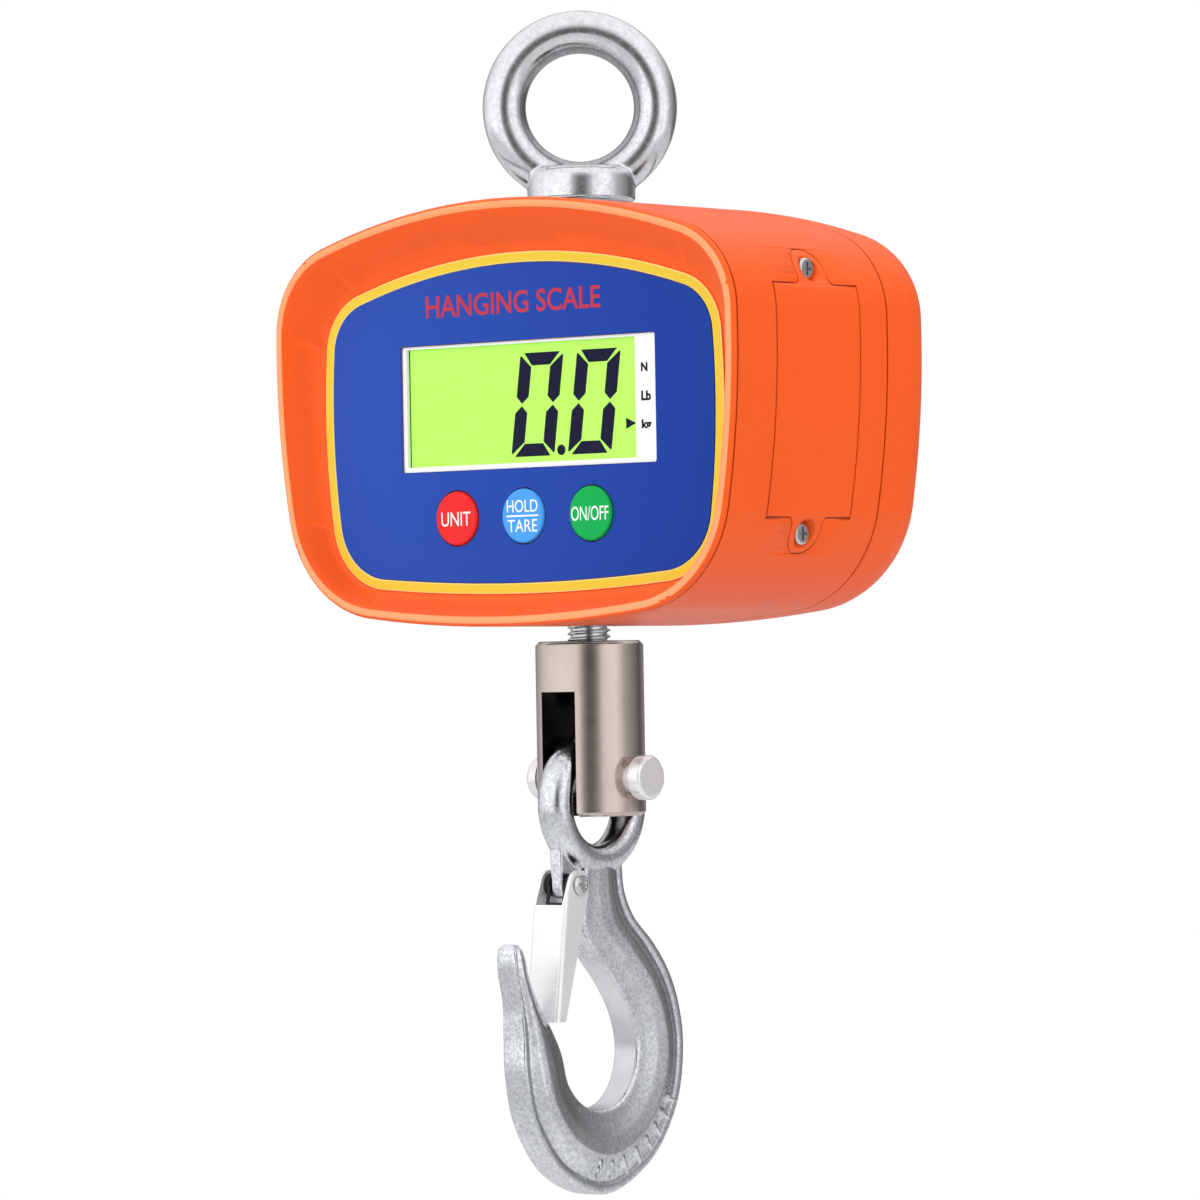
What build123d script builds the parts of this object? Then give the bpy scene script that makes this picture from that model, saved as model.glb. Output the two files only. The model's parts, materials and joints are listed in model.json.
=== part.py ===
from build123d import *
import math
import os

os.makedirs("parts", exist_ok=True)

# Hanging crane scale, millimetres.
# X is the width, -Y faces the reader of the display, +Z is up.
# The origin is the centre of the lifting ring; the suspension line is X = Y = 0.

# ---------------------------------------------------------------- clearances
running_gap = 0.3
shaft_clearance = 0.05
slip_gap = 0.15

# ------------------------------------------------------------- lifting eye
ring_bore_d = 30.0
ring_outer_d = 54.0
ring_section_d = 12.2
ring_yaw = 40.0
collar_d = 30.0
collar_top_z = -16.7
collar_bottom_z = -26.4
thread_d = 12.0
shank_length = 20.5

# ----------------------------------------------------------------- housing
case_top_z = collar_bottom_z - running_gap
case_height = 117.2
case_top_half = 81.5
case_top_drop = 16.4
case_bottom_half = 73.0
case_bottom_rise = 6.8
case_side_bulge = 4.3
case_top_corner_r = 25.0
case_bottom_corner_r = 34.0
case_wall = 3.0
shell_front_y = -34.8
shell_rear_y = 30.0
gasket_thickness = 0.6
rim_depth = 1.6
rim_edge_r = 1.5
rim_width = 2.8
rear_depth = 27.2
rear_edge_r = 18.0
case_bottom_z = case_top_z - case_height
side_reach = case_top_half + case_side_bulge + 10.0
case_screw_x = 62.0
case_screw_top_z = -63.0
case_screw_bottom_z = -121.0
case_boss_d = 9.0

# --------------------------------------------------------------- face label
label_top_z = -44.2
label_bottom_z = -131.8
label_top_half = 67.0
label_top_drop = 12.0
label_bottom_half = 64.0
label_bottom_rise = 3.4
label_side_bulge = 2.9
label_top_corner_r = 14.0
label_bottom_corner_r = 17.0
label_border = 3.1
label_thickness = 0.8
label_face_y = -28.0
cover_floor = 2.5
window_center_x = 2.4
window_width = 91.6
window_center_z = -82.9
window_height = 35.2
viewing_width = 82.4
viewing_height = 32.8
viewing_center_x = -0.7
viewing_center_z = -82.6

# --------------------------------------------------------------------- keys
key_pitch = 24.1
key_center_x = 1.0
key_z = -113.6
key_d = 15.0
key_hole_gap = 0.35
key_proud = 0.8
key_travel = 0.6
key_flange_d = 18.0
key_flange_t = 1.2
key_stem_d = 4.0

# -------------------------------------------------------------- electronics
board_front_y = -20.2
board_t = 1.6
board_width = 104.0
board_height = 66.0
board_center_z = -91.0
lcd_width = 88.0
lcd_height = 34.4
lcd_t = 2.8
switch_height = 1.6

# ---------------------------------------------------------------- load cell
cell_width = 52.0
cell_depth = 26.0
cell_top_z = -33.0
cell_bottom_z = -131.0
cell_slot = 4.0
cable_d = 3.0
cable_bend_r = 8.0
web_front_y = 18.0
web_t = 3.0

# ------------------------------------------------------------ battery space
door_half_depth = 18.0
door_height = 62.4
door_center_z = -84.7
door_t = 3.0
door_gap = 0.35
door_tab_half = 6.2
door_tab_reach = 9.7
door_ledge_t = 2.6
door_opening_half_depth = 14.6
door_opening_height = 57.0
battery_d = 14.2
battery_length = 50.5
tray_wall = 1.4
door_screw_head_d = 6.0
door_screw_shank_d = 3.0
door_boss_d = 9.6
door_boss_floor = 0.9

# ------------------------------------------------------------------- clevis
clevis_d = 30.0
clevis_top_z = -148.0
clevis_height = 48.5
clevis_slot = 12.0
clevis_slot_top_z = -162.0
stud_end_z = -167.0
pin_z = -186.0
pin_d = 8.0
pin_head_d = 12.3
pin_head_t = 4.3
pin_neck = 2.4
pin_cap_t = 4.6

# --------------------------------------------------------------------- hook
hook_eye_bore_d = 22.5
hook_eye_outer_d = 40.5
hook_eye_t = 9.8
hook_eye_z = pin_z + pin_d / 2 + running_gap - hook_eye_bore_d / 2
hook_inner_w = 8.8
hook_mid_w = 13.6
hook_outer_w = 8.0
hook_lug_t = 4.2
hook_lug_front_y = -15.9
hook_lug_low_z = -220.3
latch_y = -12.8
latch_z = -215.2
rivet_d = 3.2
rivet_head_d = 5.6

# -------------------------------------------------------------------- latch
latch_width = 11.8
latch_sheet = 1.2
latch_lean = 7.6
latch_flange_r = 4.1
latch_plate_top_z = -220.5
latch_plate_top_y = -19.3
latch_low_z = -252.5
latch_low_depth = 5.0


# ================================================================== helpers
def bowed_disc(start, end, bulge, inset):
    """Disc whose rim bows from start to end, shrunk by an inset."""
    run_x = end[0] - start[0]
    run_z = end[1] - start[1]
    chord = math.hypot(run_x, run_z)
    radius = (chord * chord / 4 + bulge * bulge) / (2 * bulge)
    side_x = -run_z / chord
    side_z = run_x / chord
    centre_x = (start[0] + end[0]) / 2 + side_x * (bulge - radius)
    centre_z = (start[1] + end[1]) / 2 + side_z * (bulge - radius)
    return Pos(centre_x, centre_z) * Circle(radius - inset)


def shield(top_half, drop, top_z, bottom_half, rise, bottom_z, bulge, top_r, bottom_r, inset):
    """Arched four-sided outline drawn in X and Z."""
    high = top_z - drop
    low = bottom_z + rise
    face = bowed_disc((-top_half, high), (top_half, high), drop, inset)
    face = face & bowed_disc((top_half, high), (bottom_half, low), bulge, inset)
    face = face & bowed_disc((bottom_half, low), (-bottom_half, low), rise, inset)
    face = face & bowed_disc((-bottom_half, low), (-top_half, high), bulge, inset)
    ordered = face.vertices().sort_by(Axis.Y)
    face = fillet(ordered[-2:], top_r - inset)
    ordered = face.vertices().sort_by(Axis.Y)
    return fillet(ordered[:2], bottom_r - inset)


def case_outline(inset=0.0):
    """Outline of the housing, brought inwards by an inset."""
    return shield(
        case_top_half, case_top_drop, case_top_z,
        case_bottom_half, case_bottom_rise, case_bottom_z,
        case_side_bulge, case_top_corner_r, case_bottom_corner_r, inset,
    )


def label_outline(grow=0.0):
    """Outline of the blue face label, grown outwards."""
    return shield(
        label_top_half, label_top_drop, label_top_z,
        label_bottom_half, label_bottom_rise, label_bottom_z,
        label_side_bulge, label_top_corner_r, label_bottom_corner_r, -grow,
    )


def at_y(face, y):
    """The outline placed on the plane at the given Y."""
    return Plane.XZ.offset(-y) * face


def prism(face, y_front, y_back):
    """The outline extruded between two Y values."""
    return extrude(at_y(face, y_back), y_back - y_front)


def block(x0, x1, y0, y1, z0, z1):
    """Box between two opposite corners."""
    box = Box(x1 - x0, y1 - y0, z1 - z0)
    return Pos((x0 + x1) / 2, (y0 + y1) / 2, (z0 + z1) / 2) * box


def rod_x(d, x0, x1, y, z):
    """Round bar along X."""
    bar = Cylinder(d / 2, x1 - x0, rotation=(0, 90, 0))
    return Pos((x0 + x1) / 2, y, z) * bar


def rod_y(d, y0, y1, x, z):
    """Round bar along Y."""
    bar = Cylinder(d / 2, y1 - y0, rotation=(90, 0, 0))
    return Pos(x, (y0 + y1) / 2, z) * bar


def rod_z(d, z0, z1, x=0.0, y=0.0):
    """Round bar along Z."""
    bar = Cylinder(d / 2, z1 - z0)
    return Pos(x, y, (z0 + z1) / 2) * bar


def cross_slot(size, depth):
    """Phillips recess cutter pointing down from the XY plane."""
    arm = Box(size, size * 0.22, depth)
    cross = arm + Rot(0, 0, 90) * arm
    return Pos(0, 0, -depth / 2) * cross


def save(node, shape):
    """Write one node to its own STEP file."""
    export_step(shape, "parts/" + node + ".step")


# ============================================================== lifting eye
def make_lifting_eye():
    """Forged eye bolt: ring, collar and shank in one piece."""
    section_r = ring_section_d / 2
    centre_r = ring_outer_d / 2 - section_r
    ring = Rot(90, 0, 0) * Torus(centre_r, section_r)
    ring = ring - Rot(90, 0, 0) * Cylinder(ring_bore_d / 2, ring_section_d * 2)
    collar = rod_z(collar_d, collar_bottom_z, collar_top_z)
    collar = fillet(collar.edges().group_by(Axis.Z)[-1], 2.6)
    collar = fillet(collar.edges().group_by(Axis.Z)[0], 0.8)
    collar = collar - Rot(90, 0, 0) * Cylinder(ring_bore_d / 2, collar_d * 2)
    below = block(-30, 30, -30, 30, -60, collar_bottom_z)
    eye = (ring - below) + collar
    shank = rod_z(thread_d, collar_bottom_z - shank_length, collar_bottom_z)
    shank = chamfer(shank.edges().group_by(Axis.Z)[0], 1.0)
    return Rot(0, 0, ring_yaw) * (eye + shank)


# ================================================================== housing
def make_body_shell():
    """Ring-shaped middle shell with the battery seat, web and bosses."""
    outer = prism(case_outline(), shell_front_y, shell_rear_y)
    inner = prism(case_outline(case_wall), shell_front_y - 1, shell_rear_y + 1)
    shell = outer - inner
    web = prism(case_outline(case_wall - 0.5), web_front_y, web_front_y + web_t)
    window = block(-18, 18, web_front_y - 1, web_front_y + web_t + 1, -122, -58)
    shell = shell + (web - fillet(window.edges().filter_by(Axis.Y), 4))
    for x in (-15.0, 15.0):
        shell = shell + rod_y(10, cell_depth / 2, web_front_y + 0.5, x, -41.5)
        shell = shell - rod_y(5.4, cell_depth / 2 - 1, web_front_y + web_t + 1, x, -41.5)
    for x, z in case_screw_places():
        shell = shell + rod_y(case_boss_d, web_front_y, shell_rear_y, x, z)
        shell = shell - rod_y(2.6, web_front_y + 1.5, shell_rear_y + 1, x, z)
    shell = shell + door_seat()
    shell = shell - door_recess()
    shell = shell - rod_z(collar_d - 15, case_top_z - 6, case_top_z + 2)
    shell = shell - rod_z(thread_d + 3, case_bottom_z - 2, case_bottom_z + 6)
    shell = shell - cover_screw_cuts()
    return shell


def case_screw_places():
    """Corner places of the rear screws in X and Z."""
    return [
        (-case_screw_x, case_screw_top_z),
        (case_screw_x, case_screw_top_z),
        (-case_screw_x + 2, case_screw_bottom_z),
        (case_screw_x - 2, case_screw_bottom_z),
    ]


def cover_screw_cuts():
    """Through holes in the web for the long front screws."""
    cuts = Part()
    for x, z in cover_screw_places():
        cuts = cuts + rod_y(3.4, web_front_y - 1, web_front_y + web_t + 1, x, z)
    return cuts


def cover_screw_places():
    """Places of the long screws that pull the front cover on."""
    return [(-36.0, -50.0), (36.0, -50.0), (-46.0, -130.5), (46.0, -130.5)]


def door_profile(grow):
    """Battery door shape drawn in Y and Z with screw tabs."""
    half = door_height / 2 + grow
    body = Rectangle(2 * (door_half_depth + grow), 2 * half)
    tab = Rectangle(2 * (door_tab_half + grow), 2 * (half + door_tab_reach))
    shape = body + tab
    ends = shape.vertices().group_by(Axis.Y)
    tips = list(ends[0]) + list(ends[-1])
    shape = fillet(tips, door_tab_half - 0.6)
    roots = [v for v in shape.vertices() if abs(abs(v.Y) - half) < 0.01]
    roots = [v for v in roots if abs(v.X) < door_tab_half + grow + 0.1]
    shape = fillet(roots, 2.4)
    return shape


def door_prism(grow, x0, x1):
    """Door shape swept along X."""
    place = Plane(origin=(x0, 0, door_center_z), x_dir=(0, 1, 0), z_dir=(1, 0, 0))
    return extrude(place * door_profile(grow), x1 - x0)


def door_skin(near, far, grow):
    """Layer of the side wall between two depths under the outer skin."""
    outer = prism(case_outline(near), -30, 30)
    inner = prism(case_outline(far), -31, 31)
    return (outer - inner) & door_prism(grow, 40, side_reach)


def door_seat():
    """Thick pad behind the battery door."""
    pad = door_skin(1.0, door_t + door_gap + door_ledge_t, 4.0)
    for z in door_screw_heights():
        seat_x = screw_seat_x(z)
        pad = pad + rod_x(door_boss_d + 2.4, seat_x - 10.0, seat_x, 0, z)
    return pad & prism(case_outline(1.0), -30, 30)


def door_screw_heights():
    """Heights of the two door screws."""
    reach = door_height / 2 + door_tab_reach - door_tab_half + 1.0
    return [door_center_z - reach, door_center_z + reach]


def door_recess():
    """Space for the door, the opening behind it and the screw holes."""
    outer = prism(case_outline(), -30, 30)
    floor = prism(case_outline(door_t + door_gap), -31, 31)
    over = block(40, side_reach + 5, -30, 30, -160, 0) - floor
    cut = over & door_prism(door_gap, 40, side_reach)
    half = door_opening_height / 2
    low = door_center_z - half
    high = door_center_z + half
    depth = door_opening_half_depth
    opening = block(60, side_reach, -depth, depth, low, high)
    cut = cut + fillet(opening.edges().filter_by(Axis.X), 2)
    for z in door_screw_heights():
        floor_x = screw_seat_x(z) - door_boss_floor - door_gap
        cut = cut + rod_x(door_boss_d + 2 * door_gap, floor_x, side_reach, 0, z)
        cut = cut + rod_x(door_screw_shank_d + 0.6, floor_x - 5.6, side_reach, 0, z)
    return cut


def make_battery_door():
    """Flush door that follows the curved side wall."""
    door = door_skin(0.0, door_t, 0.0)
    solid = prism(case_outline(), -30, 30)
    for z in door_screw_heights():
        seat_x = screw_seat_x(z)
        door = door + (rod_x(door_boss_d, seat_x - door_boss_floor, side_reach, 0, z) & solid)
        door = door - rod_x(door_screw_head_d + 1.6, seat_x, side_reach, 0, z)
        door = door - rod_x(door_screw_shank_d + 0.3, 50, side_reach, 0, z)
    half = door_opening_height / 2 - 0.6
    depth = door_opening_half_depth - 0.6
    rim = block(70, side_reach, -depth, depth, door_center_z - half, door_center_z + half)
    rim = fillet(rim.edges().filter_by(Axis.X), 1.6)
    hollow = block(69, 91, 1.6 - depth, depth - 1.6, door_center_z - half + 1.6, door_center_z + half - 1.6)
    band = prism(case_outline(door_t - 0.5), -30, 30)
    band = band - prism(case_outline(door_t + 2.6), -31, 31)
    return door + ((rim - hollow) & band)


def screw_seat_x(z):
    """Depth of the flat seat under a door screw head."""
    wall = prism(case_outline(door_t - 0.9), -1, 1)
    reach = (wall & rod_x(0.2, 0, side_reach, 0, z)).bounding_box().max.X
    return reach


def make_door_screws():
    """Two cross-head screws held in the battery door."""
    group = []
    for z in door_screw_heights():
        seat_x = screw_seat_x(z)
        head = Pos(0, 0, 0.9) * Cylinder(door_screw_head_d / 2, 1.8)
        head = fillet(head.edges().group_by(Axis.Z)[-1], 0.7)
        head = head - Pos(0, 0, 1.8) * cross_slot(3.6, 1.0)
        shank = Pos(0, 0, -3.0) * Cylinder(door_screw_shank_d / 2, 6.0)
        screw = head + shank
        group.append(Pos(seat_x, 0, z) * Rot(0, 90, 0) * screw)
    return Compound(children=group)


def make_front_cover():
    """Dished front cover with a rounded rim and a floor for the label."""
    seam_y = shell_front_y - gasket_thickness
    front_y = seam_y - rim_depth
    floor_y = label_face_y + label_thickness
    back_y = floor_y + cover_floor
    rim = prism(case_outline(), front_y, seam_y)
    rim = fillet(rim.edges().group_by(Axis.Y)[0], rim_edge_r)
    tub = prism(case_outline(case_wall + slip_gap * 2), seam_y - 0.5, back_y)
    cover = rim + tub
    mouth = at_y(case_outline(rim_width), front_y)
    seat = at_y(label_outline(label_border + slip_gap), floor_y)
    dish = loft([mouth, seat], ruled=True)
    cover = cover - dish
    window = Rectangle(window_width, window_height)
    window = Pos(window_center_x, window_center_z) * fillet(window.vertices(), 0.8)
    cover = cover - prism(window, floor_y - 1, back_y + 1)
    for k in (-1, 0, 1):
        cover = cover - rod_y(key_d + 2 * key_hole_gap, floor_y - 1, back_y + 1, key_x(k), key_z)
    for x, z in cover_screw_places():
        boss = rod_y(7.0, back_y - 1.2, 10.0, x, z)
        cover = cover + (boss - rod_y(2.6, back_y + 2, 11.0, x, z))
    return cover


def make_rear_cover():
    """Deep rounded rear cover with four sunk screw wells."""
    seam_y = shell_rear_y + gasket_thickness
    back_y = seam_y + rear_depth
    outer = prism(case_outline(), seam_y, back_y)
    outer = fillet(outer.edges().group_by(Axis.Y)[-1], rear_edge_r)
    inner = prism(case_outline(case_wall), seam_y - 1, back_y - case_wall)
    inner = fillet(inner.edges().group_by(Axis.Y)[-1], rear_edge_r - case_wall)
    cover = outer - inner
    for x, z in case_screw_places():
        post = rod_y(case_boss_d, seam_y, back_y + 2, x, z)
        cover = cover + (post & outer)
        cover = cover - rod_y(6.8, seam_y + 6, back_y + 5, x, z)
        cover = cover - rod_y(3.4, seam_y - 1, seam_y + 7, x, z)
    return cover


def make_gasket(y0, y1):
    """Thin seal between two parts of the housing."""
    ring = prism(case_outline(0.5), y0, y1)
    return ring - prism(case_outline(case_wall - 0.2), y0 - 1, y1 + 1)


def make_rear_screws():
    """Four screws through the rear cover."""
    group = []
    seat_y = shell_rear_y + gasket_thickness + 6.0
    for x, z in case_screw_places():
        head = rod_y(5.6, seat_y, seat_y + 2.2, x, z)
        head = fillet(head.edges().group_by(Axis.Y)[-1], 0.8)
        slot = Pos(x, seat_y + 2.2, z) * Rot(-90, 0, 0) * cross_slot(3.4, 1.1)
        shank = rod_y(2.5, seat_y - 14.0, seat_y, x, z)
        group.append((head - slot) + shank)
    return Compound(children=group)


def make_cover_screws():
    """Four long screws from the web into the front cover bosses."""
    group = []
    seat_y = web_front_y + web_t
    for x, z in cover_screw_places():
        head = rod_y(6.0, seat_y, seat_y + 2.4, x, z)
        head = fillet(head.edges().group_by(Axis.Y)[-1], 0.8)
        slot = Pos(x, seat_y + 2.4, z) * Rot(-90, 0, 0) * cross_slot(3.6, 1.2)
        shank = rod_y(2.5, -6.0, seat_y, x, z)
        group.append((head - slot) + shank)
    return Compound(children=group)


# =================================================================== label
def label_cutouts(y0, y1):
    """Window and key openings of the label."""
    window = Rectangle(window_width, window_height)
    window = Pos(window_center_x, window_center_z) * fillet(window.vertices(), 0.8)
    cuts = prism(window, y0 - 1, y1 + 1)
    for k in (-1, 0, 1):
        cuts = cuts + rod_y(key_d + 2 * key_hole_gap, y0 - 1, y1 + 1, key_x(k), key_z)
    return cuts


def make_face_label():
    """Blue label plate with openings for the window and the keys."""
    back_y = label_face_y + label_thickness
    return prism(label_outline(), label_face_y, back_y) - label_cutouts(label_face_y, back_y)


def make_label_border():
    """Yellow frame around the blue label."""
    back_y = label_face_y + label_thickness
    outer = prism(label_outline(label_border), label_face_y + 0.1, back_y)
    return outer - prism(label_outline(slip_gap), label_face_y - 1, back_y + 1)


def make_display_window():
    """Clear pane set flush in the label."""
    pane = Rectangle(window_width - 2 * slip_gap, window_height - 2 * slip_gap)
    pane = Pos(window_center_x, window_center_z) * fillet(pane.vertices(), 0.7)
    return prism(pane, label_face_y + 0.05, label_face_y + label_thickness)


def make_display_frame():
    """White mask with the viewing opening."""
    y0 = label_face_y + label_thickness + 0.1
    frame = Rectangle(window_width - 2 * slip_gap, window_height - 2 * slip_gap)
    frame = fillet(frame.vertices(), 0.7)
    frame = prism(Pos(window_center_x, window_center_z) * frame, y0, y0 + 1.2)
    hole = Rectangle(viewing_width, viewing_height)
    hole = prism(Pos(viewing_center_x, viewing_center_z) * hole, y0 - 1, y0 + 2)
    return frame - hole


def make_display_glass():
    """Liquid crystal cell behind the mask."""
    y0 = label_face_y + label_thickness + 1.4
    glass = Rectangle(lcd_width, lcd_height)
    return prism(Pos(window_center_x, window_center_z) * glass, y0, y0 + lcd_t)


def make_backlight():
    """Light guide behind the liquid crystal cell."""
    y0 = label_face_y + label_thickness + 1.5 + lcd_t
    guide = Rectangle(lcd_width, lcd_height)
    return prism(Pos(window_center_x, window_center_z) * guide, y0, board_front_y - 0.1)


# ==================================================================== keys
def key_x(index):
    """Place of a key across the face."""
    return key_center_x + index * key_pitch


def make_key(index):
    """One push key with a flange behind the cover and a stem."""
    x = key_x(index)
    front_y = label_face_y - key_proud
    floor_back_y = label_face_y + label_thickness + cover_floor
    flange_y = floor_back_y + running_gap
    stem_end_y = board_front_y - switch_height - key_travel - running_gap
    cap = rod_y(key_d, front_y, flange_y + 0.1, x, key_z)
    cap = fillet(cap.edges().group_by(Axis.Y)[0], 0.7)
    flange = rod_y(key_flange_d, flange_y, flange_y + key_flange_t, x, key_z)
    stem = rod_y(key_stem_d, flange_y, stem_end_y, x, key_z)
    return cap + flange + stem


def make_tact_switches():
    """Three switches under the keys."""
    group = []
    for k in (-1, 0, 1):
        x = key_x(k)
        base = block(x - 3, x + 3, board_front_y - 1.1, board_front_y, key_z - 3, key_z + 3)
        plunger = rod_y(3.4, board_front_y - switch_height, board_front_y - 1.0, x, key_z)
        group.append(base + plunger)
    return Compound(children=group)


def make_main_board():
    """Circuit board behind the display and the keys."""
    half = board_width / 2
    low = board_center_z - board_height / 2
    high = board_center_z + board_height / 2
    back_y = board_front_y + board_t
    board = block(-half, half, board_front_y, back_y, low, high)
    board = fillet(board.edges().filter_by(Axis.Y), 3)
    for x, z in board_post_places():
        board = board - rod_y(3.2, board_front_y - 1, back_y + 1, x, z)
    return board


def board_post_places():
    """Fixing places of the circuit board."""
    x = board_width / 2 - 4.5
    top = board_center_z + board_height / 2 - 4.5
    bottom = board_center_z - board_height / 2 + 4.5
    return [(-x, top), (x, top), (-x, bottom), (x, bottom)]


def make_board_posts():
    """Spacers between the cover floor and the board."""
    group = []
    floor_back_y = label_face_y + label_thickness + cover_floor
    for x, z in board_post_places():
        group.append(rod_y(6.0, floor_back_y, board_front_y, x, z))
    return Compound(children=group)


def make_board_screws():
    """Screws that hold the board on its spacers."""
    group = []
    back_y = board_front_y + board_t
    for x, z in board_post_places():
        head = rod_y(5.2, back_y, back_y + 1.7, x, z)
        head = fillet(head.edges().group_by(Axis.Y)[-1], 0.6)
        group.append(head + rod_y(2.8, board_front_y + 0.05, back_y + 0.1, x, z))
    return Compound(children=group)


def make_board_chips():
    """Controller, converter, sounder and connector on the board."""
    y = board_front_y + board_t
    group = [
        block(-32, -18, y, y + 2.0, -92, -78),
        block(-8, 2, y, y + 1.8, -104, -94),
        rod_y(12.0, y, y + 2.9, 20.0, -110.0),
        block(-48, -38, y, y + 2.6, -104, -99),
    ]
    return Compound(children=group)


# =============================================================== load cell
def make_load_cell():
    """S-type beam cell with two opposed slots and a gauge window."""
    half = cell_width / 2
    depth = cell_depth / 2
    cell = block(-half, half, -depth, depth, cell_bottom_z, cell_top_z)
    cell = chamfer(cell.edges().filter_by(Axis.Z), 1.5)
    middle = (cell_top_z + cell_bottom_z) / 2
    upper = middle + 22.0
    lower = middle - 22.0
    left = block(-half - 1, half - 9, -depth - 1, depth + 1, upper, upper + cell_slot)
    right = block(9 - half, half + 1, -depth - 1, depth + 1, lower - cell_slot, lower)
    cell = cell - left - right
    cell = cell - rod_y(26.0, -depth - 1, -3.0, 0, middle)
    cell = cell - rod_y(26.0, 3.0, depth + 1, 0, middle)
    bore = thread_d + 2 * shaft_clearance
    cell = cell - rod_z(bore, collar_bottom_z - shank_length - 1.5, cell_top_z + 1)
    cell = cell - rod_z(thread_d, cell_bottom_z - 1, cell_bottom_z + 16)
    for x in (-15.0, 15.0):
        cell = cell - rod_y(4.2, depth - 9.0, depth + 1, x, -41.5)
    return cell


def make_gauge_covers():
    """Potted discs that close the gauge windows."""
    middle = (cell_top_z + cell_bottom_z) / 2
    depth = cell_depth / 2
    front = rod_y(25.8, -depth + 0.6, -depth + 2.0, 0, middle)
    back = rod_y(25.8, depth - 2.0, depth - 0.6, 0, middle)
    return Compound(children=[front, back])


def make_cell_screws():
    """Screws that hang the housing on the upper arm of the cell."""
    group = []
    seat_y = web_front_y + web_t
    for x in (-15.0, 15.0):
        head = rod_y(8.4, seat_y, seat_y + 4.0, x, -41.5)
        socket = RegularPolygon(2.3, 6)
        head = head - prism(Pos(x, -41.5) * socket, seat_y + 1.8, seat_y + 5)
        group.append(head + rod_y(4.1, cell_depth / 2 - 8.0, seat_y, x, -41.5))
    return Compound(children=group)


def make_lower_stud():
    """Threaded stud from the cell down into the clevis."""
    stud = rod_z(thread_d, stud_end_z, cell_bottom_z + 15)
    stud = chamfer(stud.edges().group_by(Axis.Z)[0], 1.4)
    return stud


def make_lock_nut():
    """Hexagon nut that locks the stud against the cell."""
    top = cell_bottom_z
    hexagon = RegularPolygon(19.0 / math.sqrt(3), 6)
    nut = extrude(Plane.XY.offset(top - 6.0) * hexagon, 6.0)
    return nut - rod_z(thread_d, top - 7, top + 1)


def make_cell_cable():
    """Short lead from the cell to the board connector."""
    points = [
        (-cell_width / 2, 0, -68.0),
        (-40.0, 0, -68.0),
        (-44.0, -4.0, -84.0),
        (-44.0, board_front_y + 6.6, -99.0),
    ]
    path = FilletPolyline(*points, radius=cable_bend_r)
    profile = Plane(origin=path @ 0, z_dir=path % 0) * Circle(cable_d / 2)
    return sweep(profile, path=path)


# ================================================================= battery
def battery_places():
    """Centres of the four cells in X and Y."""
    pitch = battery_d + 0.6
    first = 49.9
    return [
        (first, -pitch / 2),
        (first, pitch / 2),
        (first + pitch, -pitch / 2),
        (first + pitch, pitch / 2),
    ]


def make_battery_tray():
    """Open tray that holds the cells upright."""
    half = door_opening_half_depth + 1.8
    low = door_center_z - battery_length / 2 - 4.0
    high = door_center_z + battery_length / 2 + 4.0
    tray = block(41.0, 72.6, -half, half, low, high)
    inside = block(
        41.0 + tray_wall, 76, tray_wall - half, half - tray_wall, low + tray_wall, high - tray_wall
    )
    rib = block(41.5, 66.0, -0.2, 0.2, low + 1, high - 1)
    return (tray - inside) + rib


def make_batteries():
    """Four size AA cells."""
    group = []
    low = door_center_z - battery_length / 2
    high = door_center_z + battery_length / 2
    for index, (x, y) in enumerate(battery_places()):
        body = rod_z(battery_d, low, high - 1.2, x, y)
        nib = rod_z(5.2, high - 1.3, high, x, y)
        cell = body + nib
        if index % 2 == 1:
            cell = Pos(0, 0, 2 * door_center_z) * Rot(180, 0, 0) * cell
            cell = Pos(0, 2 * y, 0) * cell
        group.append(cell)
    return Compound(children=group)


def make_battery_contacts():
    """Coil springs and plates at the ends of the cells."""
    group = []
    edge = battery_length / 2 + 4.0 - tray_wall
    for index, (x, y) in enumerate(battery_places()):
        up = 1 if index % 2 == 1 else -1
        z_spring = door_center_z + up * edge
        z_plate = door_center_z - up * edge
        tip = door_center_z + up * (battery_length / 2 + 0.05)
        coil = rod_z(7.0, min(tip, z_spring), max(tip, z_spring), x, y)
        coil = coil - rod_z(5.2, min(tip, z_spring) - 1, max(tip, z_spring) + 1, x, y)
        near = door_center_z - up * (battery_length / 2 + 0.05)
        plate = block(x - 4, x + 4, y - 4, y + 4, min(near, z_plate), max(near, z_plate))
        group.append(coil)
        group.append(plate)
    return Compound(children=group)


# ================================================================== clevis
def make_clevis():
    """Round fork under the housing with a central slot."""
    bottom = clevis_top_z - clevis_height
    body = rod_z(clevis_d, bottom, clevis_top_z)
    body = chamfer(body.edges().group_by(Axis.Z)[-1], 1.2)
    body = chamfer(body.edges().group_by(Axis.Z)[0], 1.2)
    slot = block(-clevis_slot / 2, clevis_slot / 2, -20, 20, bottom - 1, clevis_slot_top_z)
    body = body - slot
    body = body - rod_z(thread_d + 2 * shaft_clearance, clevis_slot_top_z - 1, clevis_top_z + 1)
    return body - rod_x(pin_d, -20, 20, 0, pin_z)


def make_clevis_pin():
    """Pin across the fork with a round head and a neck."""
    half = clevis_d / 2
    shaft = rod_x(pin_d, -half - pin_cap_t + 1.2, half + pin_neck + 0.5, 0, pin_z)
    head_x = half + pin_neck
    head = rod_x(pin_head_d, head_x, head_x + pin_head_t, 0, pin_z)
    head = chamfer(head.edges().group_by(Axis.X)[-1], 0.9)
    head = chamfer(head.edges().group_by(Axis.X)[0], 0.5)
    return shaft + head


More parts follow.
